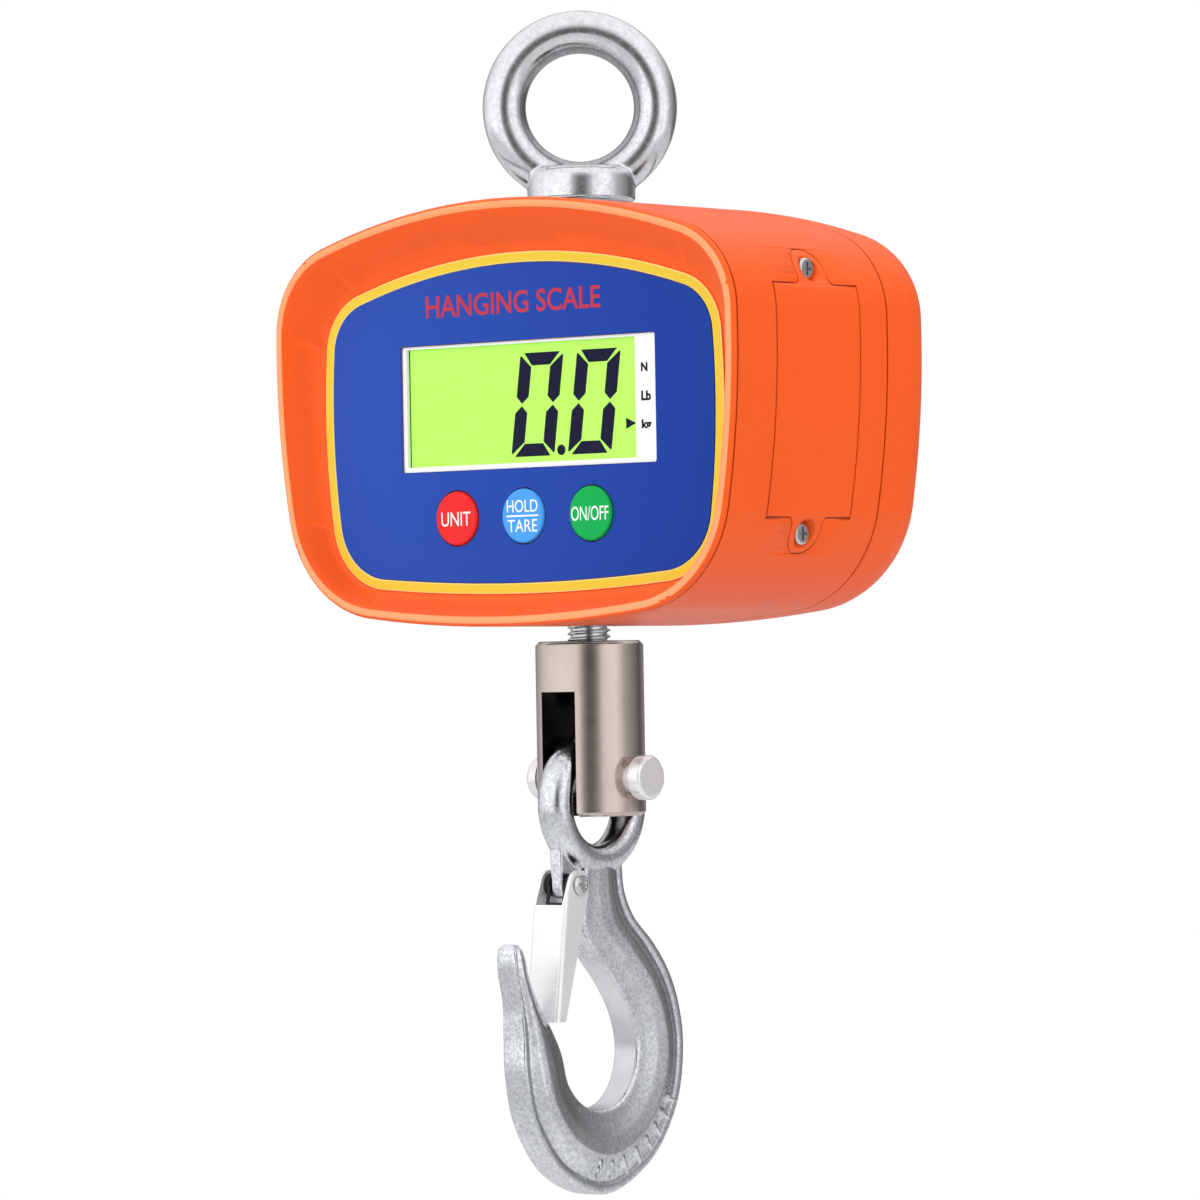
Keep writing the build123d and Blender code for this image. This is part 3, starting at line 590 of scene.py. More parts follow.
def skin(node: str, finish: Finish, slot: str, smooth: float = 30.0, bevel: float = 0.0,
         highlight_finish: Finish | None = None, merge: float = 0.0,
         splits: Sequence[tuple[int, float]] = ()) -> bpy.types.Object:
    """Welded, smooth-shaded twin that stands for a CAD node.

    Args:
        node: CAD node name.
        finish: its finish.
        slot: the record's material slot.
        smooth: edges sharper than this many degrees stay crisp.
        bevel: width of the broken edge, nought for none.
        highlight_finish: finish of the broken edges and of other faces given material index one, a lighter
            colour that is a painted highlight.
        merge: facets closer than this many degrees become one face.
        splits: axis and height of planes that divide the faces.

    Returns:
        The twin.
    """
    source = frame["nodes"][node]
    mesh = bmesh.new()
    mesh.from_mesh(source.data)
    bmesh.ops.remove_doubles(mesh, verts=mesh.verts, dist=2e-6)
    if merge > 0:
        bmesh.ops.dissolve_limit(mesh, angle_limit=math.radians(merge), verts=mesh.verts, edges=mesh.edges)
    for axis, height in splits:
        facing = Vector([float(k == axis) for k in range(3)])
        whole = mesh.verts[:] + mesh.edges[:] + mesh.faces[:]
        bmesh.ops.bisect_plane(mesh, geom=whole, plane_co=facing * height, plane_no=facing)
    piece = settle(mesh, node + "_skin", finish, Body(source["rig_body"]), slot, [node], smooth, highlight_finish)
    if bevel > 0:
        break_edges(piece, bevel, 3, 22.0, 1 if highlight_finish else -1)
    even = piece.modifiers.new("even", "WEIGHTED_NORMAL")
    even.keep_sharp = True
    even.weight = 80
    return piece


def break_edges(piece: bpy.types.Object, width: float, segments: int, angle: float,
                finish: int = -1) -> None:
    """Add a live bevel to the sharp edges of a piece.

    Args:
        piece: the piece.
        width: width of the bevel.
        segments: faces across it.
        angle: edges sharper than this many degrees get it.
        finish: index of the bevel's material, -1 for that of its neighbours.
    """
    step = piece.modifiers.new("edge", "BEVEL")
    step.width = width
    step.segments = segments
    step.limit_method = "ANGLE"
    step.angle_limit = math.radians(angle)
    step.material = finish


def lathe(points: Sequence[tuple[float, float]], steps: int = 64) -> bmesh.types.BMesh:
    """Spin a profile of (radius, height) points round Z.

    Args:
        points: profile from one end on the axis to the other.
        steps: number of steps in the turn.

    Returns:
        A closed bmesh.
    """
    mesh = bmesh.new()
    verts = [mesh.verts.new((r, 0.0, z)) for r, z in points]
    edges = [mesh.edges.new(pair) for pair in zip(verts, verts[1:])]
    bmesh.ops.spin(mesh, geom=verts + edges, axis=(0, 0, 1), cent=(0, 0, 0), steps=steps,
                   angle=math.tau, use_merge=True)
    bmesh.ops.remove_doubles(mesh, verts=mesh.verts, dist=1e-7)
    bmesh.ops.recalc_face_normals(mesh, faces=mesh.faces)
    return mesh


def join(parts: Iterable[bmesh.types.BMesh]) -> bmesh.types.BMesh:
    """Put several shapes in one bmesh.

    Args:
        parts: the shapes; they are freed.

    Returns:
        The bmesh that holds them all.
    """
    whole = bmesh.new()
    for part in parts:
        data = bpy.data.meshes.new("part")
        part.to_mesh(data)
        part.free()
        whole.from_mesh(data)
        bpy.data.meshes.remove(data)
    return whole


def add_plate(mesh: bmesh.types.BMesh, outline: Iterable[tuple[float, float, float]],
              shift: tuple[float, float, float]) -> None:
    """Add the solid between a flat outline and its shifted copy.

    Args:
        mesh: the bmesh that gets the plate.
        outline: corners of the flat face.
        shift: from the face to its copy.
    """
    made = mesh.faces.new([mesh.verts.new(corner) for corner in outline])
    grown = bmesh.ops.extrude_face_region(mesh, geom=[made])
    moved = [g for g in grown["geom"] if isinstance(g, bmesh.types.BMVert)]
    bmesh.ops.translate(mesh, verts=moved, vec=shift)


def fuse(parts: Iterable[bmesh.types.BMesh], voxel: float, smoothing: int) -> bmesh.types.BMesh:
    """Weld closed shapes into one skin with soft joints.

    Args:
        parts: closed bmeshes; they are freed.
        voxel: size of the welding cells.
        smoothing: passes of smoothing after the weld.

    Returns:
        The welded bmesh.
    """
    whole = join(parts)
    data = bpy.data.meshes.new("weld")
    whole.to_mesh(data)
    whole.free()
    holder = bpy.data.objects.new("weld", data)
    bpy.context.scene.collection.objects.link(holder)
    step = holder.modifiers.new("weld", "REMESH")
    step.mode = "VOXEL"
    step.voxel_size = voxel
    relax = holder.modifiers.new("relax", "SMOOTH")
    relax.factor = 0.5
    relax.iterations = smoothing
    evaluated = holder.evaluated_get(bpy.context.evaluated_depsgraph_get())
    baked = bpy.data.meshes.new_from_object(evaluated)
    bpy.data.objects.remove(holder)
    bpy.data.meshes.remove(data)
    result = bmesh.new()
    result.from_mesh(baked)
    bpy.data.meshes.remove(baked)
    return result


def catmull(rows: Sequence[Sequence[float]], count: int) -> list[list[float]]:
    """Smooth samples through rows of numbers.

    Args:
        rows: the rows to pass through.
        count: samples between two rows.

    Returns:
        The rows with the samples between them.
    """
    out: list[list[float]] = []
    last = len(rows) - 1
    for i in range(last):
        a, b, c, d = (rows[min(max(i + k, 0), last)] for k in (-1, 0, 1, 2))
        for s in range(count):
            t = s / count
            out.append([
                0.5 * (2 * q + (r - p) * t + (2 * p - 5 * q + 4 * r - u) * t * t
                       + (3 * q - p - 3 * r + u) * t ** 3)
                for p, q, r, u in zip(a, b, c, d)])
    out.append(list(rows[last]))
    return out


def lettering(text: str, name: str, width: float, height: float, centre: Vector, thickness: float,
              finish: Finish, body: Body, slot: str, offset: float = 0.0) -> bpy.types.Object:
    """Raised lettering that faces the reader.

    Args:
        text: the words.
        name: piece name.
        width: overall width.
        height: cap height.
        centre: middle of the words, on the surface that they lie on.
        thickness: how far they stand out.
        finish: their finish.
        body: the body they ride on.
        slot: the record's material slot.
        offset: weight added to the strokes, in units of the letter size.

    Returns:
        The lettering.
    """
    curve = bpy.data.curves.new(name, "FONT")
    curve.body = text
    curve.extrude = 0.5
    curve.offset = offset
    curve.resolution_u = 6
    holder = bpy.data.objects.new(name + "_outline", curve)
    bpy.context.scene.collection.objects.link(holder)
    evaluated = holder.evaluated_get(bpy.context.evaluated_depsgraph_get())
    data = bpy.data.meshes.new_from_object(evaluated)
    bpy.data.objects.remove(holder)
    bpy.data.curves.remove(curve)
    mesh = bmesh.new()
    mesh.from_mesh(data)
    bpy.data.meshes.remove(data)
    bmesh.ops.remove_doubles(mesh, verts=mesh.verts, dist=1e-5)
    low = Vector([min(v.co[i] for v in mesh.verts) for i in range(3)])
    high = Vector([max(v.co[i] for v in mesh.verts) for i in range(3)])
    middle = (low + high) / 2
    size = high - low
    turn = Matrix.Rotation(math.radians(90), 4, "X")
    scale = Matrix.Diagonal((width / size.x, height / size.y, thickness / size.z, 1.0))
    seat = Matrix.Translation(centre - Vector((0, thickness / 2, 0)))
    place = seat @ turn @ scale @ Matrix.Translation(-middle)
    bmesh.ops.transform(mesh, matrix=place, verts=mesh.verts)
    return settle(mesh, name, finish, body, slot)


# ------------------------------------------------------------------- lifting eye
@dataclass
class LiftingEye:
    """Forged eye bolt: ring, collar and threaded shank."""

    bore_r: float = 15.0 * MM
    outer_r: float = 27.0 * MM
    half_thick: float = 6.0 * MM
    collar_r: float = 15.0 * MM
    collar_top: float = -16.7 * MM
    collar_bottom: float = -26.4 * MM
    shank_r: float = 6.0 * MM
    yaw: float = math.radians(40.0)

    def ring(self) -> bmesh.types.BMesh:
        """Ring with an oval section."""
        middle = (self.bore_r + self.outer_r) / 2
        radial = (self.outer_r - self.bore_r) / 2
        mesh = bmesh.new()
        made = bmesh.ops.create_circle(mesh, segments=48, radius=1.0)
        for vert in made["verts"]:
            angle = math.atan2(vert.co.y, vert.co.x)
            vert.co = Vector((middle + radial * math.cos(angle), self.half_thick * math.sin(angle), 0.0))
        bmesh.ops.spin(mesh, geom=mesh.verts[:] + mesh.edges[:], axis=(0, 1, 0), cent=(0, 0, 0),
                       steps=160, angle=math.tau, use_merge=True)
        bmesh.ops.remove_doubles(mesh, verts=mesh.verts, dist=1e-7)
        return mesh

    def collar(self) -> bmesh.types.BMesh:
        """Round collar with a domed shoulder."""
        top, low, r = self.collar_top, self.collar_bottom, self.collar_r
        points = [(0.0, low), (r - 0.7 * MM, low), (r, low + 0.7 * MM), (r, top - 3.2 * MM)]
        points += [(r - 3.6 * MM * (1 - math.cos(a)), top - 3.2 * MM + 3.2 * MM * math.sin(a))
                   for a in (0.4, 0.8, 1.2, 1.57)]
        points.append((0.0, top + 0.4 * MM))
        return lathe(points, 96)

    def shank(self) -> bmesh.types.BMesh:
        """Shank that goes into the load cell."""
        low = self.collar_bottom - 20.5 * MM
        r = self.shank_r
        return lathe([(0, low), (r - 1.0 * MM, low), (r, low + 1.0 * MM), (r, self.collar_bottom + 2 * MM),
                      (0, self.collar_bottom + 2 * MM)])

    def build(self) -> None:
        """Weld the three shapes and turn them to their rest yaw."""
        below = self.collar_bottom + 0.1 * MM
        ring = self.ring()
        cut = bmesh.ops.bisect_plane(ring, geom=ring.verts[:] + ring.edges[:] + ring.faces[:],
                                     plane_co=(0, 0, below), plane_no=(0, 0, -1), clear_outer=True)
        rim = [e for e in cut["geom_cut"] if isinstance(e, bmesh.types.BMEdge)]
        bmesh.ops.contextual_create(ring, geom=rim)
        mesh = fuse([ring, self.collar(), self.shank()], 0.42 * MM, 4)
        bmesh.ops.transform(mesh, matrix=Matrix.Rotation(self.yaw, 4, "Z"), verts=mesh.verts)
        settle(mesh, "lifting_eye_forging", Finish.ZINC, Body.EYE, "bright_zinc", ["lifting_eye"], 60)


# ----------------------------------------------------------------------- housing
@dataclass
class Housing:
    """Orange shells with their seals and screws."""

    seals: tuple[str, ...] = ("front_gasket", "rear_gasket")
    screws: tuple[str, ...] = ("rear_screws", "cover_screws")
    rim_depth: float = 0.15 * MM
    door_margin: float = 0.8 * MM

    def paint_rim_highlight(self, cover: bpy.types.Object) -> None:
        """Give the flat of the front rim a lighter orange: a painted highlight.

        Args:
            cover: the front cover's twin.
        """
        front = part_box("front_cover")[0].y + self.rim_depth
        for face in cover.data.polygons:
            face.material_index = 1 if face.center.y < front and face.normal.y < -0.93 else 0

    def build(self) -> None:
        """Finish the shells, the seals and the screws."""
        # The flat of the front rim gets a lighter orange: a painted highlight.
        cover = skin("front_cover", Finish.ORANGE, "orange_abs", 30.0, 0.0, Finish.RIM_HIGHLIGHT)
        self.paint_rim_highlight(cover)
        low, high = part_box("battery_door")
        edge = self.door_margin
        splits = ((1, low.y - edge), (1, high.y + edge), (2, low.z - edge), (2, high.z + edge))
        for shell in (cover, skin("body_shell", Finish.ORANGE, "orange_abs", merge=0.4, splits=splits),
                      skin("rear_cover", Finish.ORANGE, "orange_abs")):
            shell.visible_glossy = False
        for node in self.seals:
            dress(node, Finish.SEAL)
        for node in self.screws:
            dress(node, Finish.SCREW)


@dataclass
class FacePanel:
    """Printed label, display and its characters."""

    segment_gap: float = 0.45 * MM
    digit_width: float = 15.4 * MM
    digit_height: float = 28.4 * MM
    bar: float = 3.5 * MM
    upright: float = 4.3 * MM
    slant: float = 0.14
    digit_bottom: float = -97.3 * MM
    digit_lefts: tuple[float, ...] = (-5.1 * MM, 15.2 * MM)
    corner_cut: float = 0.9 * MM
    point: tuple[float, float] = (12.9 * MM, -95.9 * MM)
    point_radius: float = 1.45 * MM
    arrow_place: tuple[float, float] = (36.0 * MM, -89.6 * MM)
    ink_thickness: float = 0.07 * MM
    ink_gap: float = 0.01 * MM

    def segment(self, mesh: bmesh.types.BMesh, corners: Sequence[tuple[float, float]], left: float,
                front: float, back: float) -> None:
        """Add one display segment as a thin solid."""
        outline = [(left + x + self.slant * z, back, self.digit_bottom + z) for x, z in corners]
        add_plate(mesh, outline, (0, front - back, 0))

    def zero(self, mesh: bmesh.types.BMesh, left: float, front: float, back: float) -> None:
        """Add the six lit segments of a nought."""
        w, h, b, g = self.digit_width, self.digit_height, self.bar, self.segment_gap
        u = self.upright
        half = h / 2
        cut = self.corner_cut
        top = [(cut + g, h), (w - cut - g, h), (w - u - g * 0.3, h - b), (u + g * 0.3, h - b)]
        low = [(u + g * 0.3, b), (w - u - g * 0.3, b), (w - cut - g, 0), (cut + g, 0)]
        side = [(0, cut * 0.6 + g), (cut * 0.4, cut * 0.4 + g), (u, b + g), (u, half - u * 0.52),
                (u * 0.5, half - g * 0.7), (0, half - u * 0.52)]
        self.segment(mesh, top, left, front, back)
        self.segment(mesh, low, left, front, back)
        for mirror_x in (False, True):
            for mirror_z in (False, True):
                shape = [(w - x if mirror_x else x, h - z if mirror_z else z) for x, z in side]
                self.segment(mesh, shape, left, front, back)

    def digits(self) -> None:
        """The reading on the display, with its point and unit arrow."""
        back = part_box("display_glass")[0].y - self.ink_gap
        front = back - self.ink_thickness
        mesh = bmesh.new()
        for left in self.digit_lefts:
            self.zero(mesh, left, front, back)
        turn = Matrix.Translation((self.point[0], (front + back) / 2, self.point[1]))
        turn = turn @ Matrix.Rotation(math.radians(90), 4, "X")
        bmesh.ops.create_cone(mesh, cap_ends=True, segments=32, radius1=self.point_radius,
                              radius2=self.point_radius, depth=back - front, matrix=turn)
        self.arrow(mesh, front, back)
        settle(mesh, "display_digits", Finish.SEGMENT, Body.HOUSING, "lcd_green")

    def arrow(self, mesh: bmesh.types.BMesh, front: float, back: float) -> None:
        """Triangle that points at the active unit."""
        x, z = self.arrow_place
        corners = ((0, -1.5), (3.6, 0), (0, 1.5))
        add_plate(mesh, [(x + dx * MM, back, z + dz * MM) for dx, dz in corners], (0, front - back, 0))

    def words(self) -> None:
        """Title and unit names."""
        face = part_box("face_label")[0].y
        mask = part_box("display_frame")[0].y
        title = Vector((-2.0 * MM, face, -54.8 * MM))
        lettering("HANGING SCALE", "title_lettering", 63.0 * MM, 6.2 * MM, title, 0.06 * MM, Finish.RED_INK,
                  Body.HOUSING, "label_blue", 0.014)
        for text, x, z, width, height in (("N", 43.7, -74.6, 2.3, 2.5), ("Lb", 44.2, -82.4, 3.4, 2.7),
                                          ("kg", 44.2, -90.4, 3.4, 3.2)):
            lettering(text, "unit_" + text.lower(), width * MM, height * MM, Vector((x * MM, mask, z * MM)),
                      0.05 * MM, Finish.BLACK_INK, Body.HOUSING, "white_plastic", 0.045)

    def build(self) -> None:
        """Finish the label and the display, and add the print."""
        dress("face_label", Finish.BLUE)
        # The broken edge of the yellow border gets a lighter cream: a painted highlight.
        skin("label_border", Finish.YELLOW, "label_yellow", 30.0, 0.3 * MM, Finish.BORDER_HIGHLIGHT, 0.4)
        dress("display_window", Finish.PANE)
        dress("display_frame", Finish.WHITE)
        dress("display_glass", Finish.LCD)
        dress("backlight", Finish.GUIDE)
        self.digits()
        self.words()


@dataclass
class Keys:
    """Three push keys with their printed names."""

    def build(self) -> None:
        """Finish the keys and print on them."""
        names = (
            ("unit_key", Finish.KEY_RED, Body.LEFT_KEY, "key_red", (("UNIT", 10.6, 3.9, -0.2),)),
            ("hold_key", Finish.KEY_BLUE, Body.MIDDLE_KEY, "key_blue",
             (("HOLD", 11.0, 3.4, 2.7), ("TARE", 10.6, 3.4, -2.7))),
            ("power_key", Finish.KEY_GREEN, Body.RIGHT_KEY, "key_green", (("ON/OFF", 13.2, 3.9, 0.0),)),
        )
        for node, finish, body, slot, rows in names:
            skin(node, finish, slot)
            low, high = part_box(node)
            x = (low.x + high.x) / 2
            z = (low.z + high.z) / 2
            for text, width, height, rise in rows:
                lettering(text, "key_print_" + text.lower().replace("/", "_"), width * MM, height * MM,
                          Vector((x, low.y, z + rise * MM)), 0.04 * MM, Finish.WHITE_INK, body, slot)
        self.bar()

    def bar(self) -> None:
        """Line between the two words of the middle key."""
        low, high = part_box("hold_key")
        mesh = bmesh.new()
        centre = Vector(((low.x + high.x) / 2, low.y - 0.02 * MM, (low.z + high.z) / 2))
        scale = Matrix.Diagonal((11.4 * MM, 0.04 * MM, 0.45 * MM, 1.0))
        bmesh.ops.create_cube(mesh, size=1.0, matrix=Matrix.Translation(centre) @ scale)
        settle(mesh, "key_print_bar", Finish.WHITE_INK, Body.MIDDLE_KEY, "key_blue")


@dataclass
class BatteryBay:
    """Battery door, its screws and what is behind it."""

    def build(self) -> None:
        """Finish the door, its screws, the tray and the cells."""
        skin("battery_door", Finish.ORANGE, "orange_abs")
        dress("door_screws", Finish.SCREW)
        dress("battery_tray", Finish.BLACK)
        dress("batteries", Finish.JACKET)
        dress("battery_contacts", Finish.SCREW)


@dataclass
class Inside:
    """Electronics and load cell inside the housing."""

    finishes: dict[str, Finish] = field(default_factory=lambda: {
        "tact_switches": Finish.BLACK, "main_board": Finish.BOARD, "board_posts": Finish.WHITE,
        "board_screws": Finish.SCREW, "board_chips": Finish.BLACK, "load_cell": Finish.ALLOY,
        "gauge_covers": Finish.ALLOY, "cell_screws": Finish.SCREW, "lock_nut": Finish.SCREW,
        "cell_cable": Finish.CABLE,
    })

    def build(self) -> None:
        """Finish every inner node."""
        for node, finish in self.finishes.items():
            dress(node, finish)


# -------------------------------------------------------------------------- fork
@dataclass
class Fork:
    """Round fork, its pin and the threaded stud above it."""

    slot_half: float = 6.0 * MM
    slot_low: float = -164.0 * MM
    thread_r: float = 6.0 * MM
    pitch: float = 1.75 * MM
    steps: int = 28

    def thread(self, low: float, high: float) -> bmesh.types.BMesh:
        """Screw thread between two heights."""
        turns = math.ceil((high - low) / self.pitch) + 1
        root = self.thread_r - 0.95 * MM
        p = self.pitch
        mesh = bmesh.new()
        crest = self.thread_r
        points = [(root, 0.0), (root, p * 0.12), (crest, p * 0.45), (crest, p * 0.57), (root, p * 0.9)]
        verts = [mesh.verts.new((r, 0.0, low - p + z)) for r, z in points]
        verts.append(mesh.verts.new((root, 0.0, low)))
        edges = [mesh.edges.new(pair) for pair in zip(verts, verts[1:])]
        count = turns * self.steps
        bmesh.ops.spin(mesh, geom=verts + edges, axis=(0, 0, 1), cent=(0, 0, 0), steps=count,
                       angle=math.tau * turns, dvec=(0, 0, p / self.steps), use_merge=False)
        bmesh.ops.remove_doubles(mesh, verts=mesh.verts, dist=0.01 * MM)
        for height, side in ((low, -1), (high, 1)):
            cut = bmesh.ops.bisect_plane(mesh, geom=mesh.verts[:] + mesh.edges[:] + mesh.faces[:],
                                         plane_co=(0, 0, height), plane_no=(0, 0, side), clear_outer=True)
            rim = [e for e in cut["geom_cut"] if isinstance(e, bmesh.types.BMEdge)]
            bmesh.ops.holes_fill(mesh, edges=rim, sides=0)
        return mesh

    def paint_slot_shade(self, piece: bpy.types.Object) -> None:
        """Paint the walls and roof of the milled slot near-black: painted shade.

        Args:
            piece: the fork's twin.
        """
        for face in piece.data.polygons:
            across = abs(face.center.x)
            wall = abs(across - self.slot_half) < 0.05 * MM and abs(face.normal.x) > 0.99
            roof = across < self.slot_half and face.normal.z < -0.9 and face.center.z > self.slot_low
            face.material_index = 1 if wall or roof else 0

    def stud(self) -> None:
        """Threaded stud with a plain chamfered end."""
        low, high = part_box("lower_stud")
        mesh = self.thread(low.z + 1.6 * MM, high.z)
        r = self.thread_r
        tip = lathe([(0, low.z), (r - 1.5 * MM, low.z), (r - 0.5 * MM, low.z + 1.2 * MM),
                     (r - 0.9 * MM, low.z + 2.4 * MM), (0, low.z + 2.4 * MM)], 48)
        settle(join([mesh, tip]), "lower_stud_thread", Finish.SCREW, Body.HOUSING, "screw_steel",
               ["lower_stud"], 35)

    def build(self) -> None:
        """Finish the fork and make its stud."""
        # The inside of the slot is painted near-black: painted shade.
        self.paint_slot_shade(skin("clevis", Finish.NICKEL, "polished_steel", 30.0, 0.0, Finish.SLOT_SHADE))
        skin("clevis_pin", Finish.PIN, "polished_steel", 30.0)
        skin("pin_cap", Finish.PIN, "polished_steel", 30.0)
        self.stud()


# -------------------------------------------------------------------------- hook
@dataclass
class LoadHook:
    """Forged eye hook with a ribbed section and raised marks."""

    rows: tuple[tuple[float, ...], ...] = (
        (-7.6, -209.0, 8.6, -209.0, 7.4, 9.0, 6.6),
        (-8.1, -218.5, 9.5, -217.5, 7.4, 9.8, 6.8),
        (-9.0, -227.0, 13.8, -225.2, 7.6, 10.8, 7.0),
        (-3.6, -235.0, 21.3, -232.1, 8.0, 12.0, 7.4),
        (4.6, -243.6, 28.0, -240.6, 8.4, 12.8, 7.6),
        (10.4, -252.4, 32.0, -250.1, 8.6, 13.2, 7.8),
        (12.6, -262.0, 33.6, -262.5, 8.6, 13.2, 7.8),
        (10.0, -270.6, 30.2, -278.3, 8.6, 13.2, 7.8),
        (4.4, -275.9, 18.9, -292.9, 8.6, 13.2, 7.8),
        (-3.2, -277.6, -0.6, -301.1, 8.6, 13.2, 7.8),
        (-10.8, -275.6, -19.5, -295.0, 8.6, 13.2, 7.8),
        (-16.6, -269.9, -31.0, -281.2, 8.4, 12.8, 7.6),
        (-19.2, -261.6, -34.8, -267.4, 8.2, 12.0, 7.4),
        (-23.0, -254.8, -35.2, -256.0, 8.0, 11.0, 7.2),
        (-28.2, -247.4, -35.7, -247.0, 7.4, 9.4, 6.6),
        (-31.8, -240.4, -37.4, -238.8, 7.2, 8.6, 6.6),
        (-32.9, -235.0, -37.8, -234.0, 6.6, 7.8, 6.2),
        (-33.6, -232.4, -37.5, -231.8, 5.8, 6.8, 5.6),
        (-34.6, -230.9, -36.8, -230.6, 3.8, 4.4, 3.8),
    )
    profile: tuple[tuple[float, float, float, float], ...] = (
        (0.00, 0.92, 0.00, 0.00), (0.04, 1.02, 0.00, 0.00), (0.16, 0.72, 0.28, 0.00),
        (0.34, 0.25, 0.75, 0.00), (0.52, 0.00, 1.00, 0.00), (0.66, 0.00, 0.90, 0.04),
        (0.78, 0.00, 0.40, 0.50), (0.84, 0.00, 0.00, 0.98), (0.90, 0.00, 0.00, 1.10),
        (0.975, 0.00, 0.00, 1.08), (1.00, 0.00, 0.00, 0.90),
    )
    eye_centre: float = -192.95 * MM
    eye_bore: float = 11.25 * MM
    eye_outer: float = 20.2 * MM
    eye_half: float = 4.85 * MM
    lug_half: float = 2.05 * MM
    throat: tuple[float, float] = (-5.0 * MM, -258.0 * MM)
    ground_from: float = -279.0
    ground_to: float = -226.0
    rib_count: int = 8
    rib_start: int = 84
    rib_step: int = 4
    rib_tilt: tuple[float, ...] = (0.16, 0.0, -0.12, 0.0, 0.0, 0.12, 0.0, -0.16)

    def section(self, row: Sequence[float]) -> list[Vector]:
        """Points of one section, down one flank and up the other."""
        inner = Vector((0.0, row[0], row[1])) * MM
        outer = Vector((0.0, row[2], row[3])) * MM
        halves = [w / 2 * MM for w in row[4:7]]
        right = []
        for along, a, b, c in self.profile:
            x = a * halves[0] + b * halves[1] + c * halves[2]
            right.append(inner.lerp(outer, along) + Vector((x, 0, 0)))
        left = [Vector((-p.x, p.y, p.z)) for p in reversed(right)]
        return right + left

    def blade(self) -> bmesh.types.BMesh:
        """Body of the hook, drawn section by section from the shank to the tip."""
        rows = catmull(self.rows, 6)
        mesh = bmesh.new()
        bmesh.ops.create_circle(mesh, segments=2 * len(self.profile), radius=1.0)
        ring = list(mesh.verts)
        for vert, place in zip(ring, self.section(rows[0])):
            vert.co = place
        edges = list(mesh.edges)
        bmesh.ops.contextual_create(mesh, geom=edges)
        for row in rows[1:]:
            grown = bmesh.ops.extrude_edge_only(mesh, edges=edges)
            fresh = [g for g in grown["geom"] if isinstance(g, bmesh.types.BMVert)]
            edges = [g for g in grown["geom"] if isinstance(g, bmesh.types.BMEdge)]
            order = {v: i for i, v in enumerate(ring)}
            paired: dict[int, bmesh.types.BMVert] = {}
            for vert in fresh:
                for edge in vert.link_edges:
                    old = edge.other_vert(vert)
                    if old in order:
                        paired[order[old]] = vert
            ring = [paired[i] for i in range(len(ring))]
            for vert, place in zip(ring, self.section(row)):
                vert.co = place
        bmesh.ops.contextual_create(mesh, geom=edges)
        bmesh.ops.recalc_face_normals(mesh, faces=mesh.faces)
        return mesh

    def eye(self) -> bmesh.types.BMesh:
        """Ring at the top of the hook."""
        middle = (self.eye_bore + self.eye_outer) / 2
        radial = (self.eye_outer - self.eye_bore) / 2
        mesh = bmesh.new()
        made = bmesh.ops.create_circle(mesh, segments=32, radius=1.0)
        for vert in made["verts"]:
            angle = math.atan2(vert.co.y, vert.co.x)
            across = abs(math.cos(angle)) ** 0.85 * math.copysign(1, math.cos(angle))
            vert.co = Vector((self.eye_half * math.sin(angle), 0.0, middle + radial * across))
        bmesh.ops.spin(mesh, geom=mesh.verts[:] + mesh.edges[:], axis=(1, 0, 0), cent=(0, 0, 0),
                       steps=120, angle=math.tau, use_merge=True)
        bmesh.ops.remove_doubles(mesh, verts=mesh.verts, dist=1e-7)
        bmesh.ops.translate(mesh, verts=mesh.verts, vec=(0, 0, self.eye_centre))
        bmesh.ops.recalc_face_normals(mesh, faces=mesh.faces)
        return mesh

    def ribs(self) -> list[bmesh.types.BMesh]:
        """Raised forging marks along the lower back of one flank."""
        rows = catmull(self.rows, 12)
        made = []
        for k in range(self.rib_count):
            row = rows[self.rib_start + k * self.rib_step]
            inner = Vector((0.0, row[0], row[1])) * MM
            outer = Vector((0.0, row[2], row[3])) * MM
            along = (outer - inner).normalized()
            turn = math.atan2(along.z, along.y) + self.rib_tilt[k % len(self.rib_tilt)]
            centre = inner.lerp(outer, 0.70) + Vector(((row[5] / 2 * 0.90 - 0.25) * MM, 0, 0))
            place = Matrix.Translation(centre) @ Matrix.Rotation(turn, 4, "X")
            rib = bmesh.new()
            bmesh.ops.create_icosphere(rib, subdivisions=3, radius=0.5,
                                       matrix=place @ Matrix.Diagonal((2.5 * MM, 6.6 * MM, 1.5 * MM, 1.0)))
            made.append(rib)
        return made

    def grind(self, mesh: bmesh.types.BMesh) -> None:
        """Mark the ground inner face of the throat for its own finish."""
        middle = Vector((0.0, *self.throat))
        for face in mesh.faces:
            place = face.calc_center_median()
            reach = middle - Vector((0.0, place.y, place.z))
            inward = face.normal.dot(reach.normalized())
            near = self.ground_from * MM < place.z < self.ground_to * MM and place.y > -22.0 * MM
            face.material_index = 1 if near and inward > 0.82 and reach.length < 0.030 else 0

    def lug_plate(self) -> bmesh.types.BMesh:
        """Thin ear that carries the latch rivet, running up to the eye."""
        mesh = bmesh.new()
        outline = [(-4.0, -205.0), (-10.0, -202.0), (-16.4, -203.4), (-15.8, -216.6), (-15.0, -218.8),
                   (-13.2, -220.2), (-6.0, -220.0), (-4.0, -214.0)]
        add_plate(mesh, [(-self.lug_half, a * MM, b * MM) for a, b in outline], (2 * self.lug_half, 0, 0))
        bmesh.ops.recalc_face_normals(mesh, faces=mesh.faces)
        return mesh

    def build(self) -> None:
        """Weld the hook and mark its ground face."""
        mesh = fuse([self.blade(), self.eye(), self.lug_plate(), *self.ribs()], 0.42 * MM, 3)
        mesh.normal_update()
        self.grind(mesh)
        settle(mesh, "hook_forging", Finish.FORGED, Body.HOOK, "galvanised_steel", ["hook"], 80, Finish.GROUND)


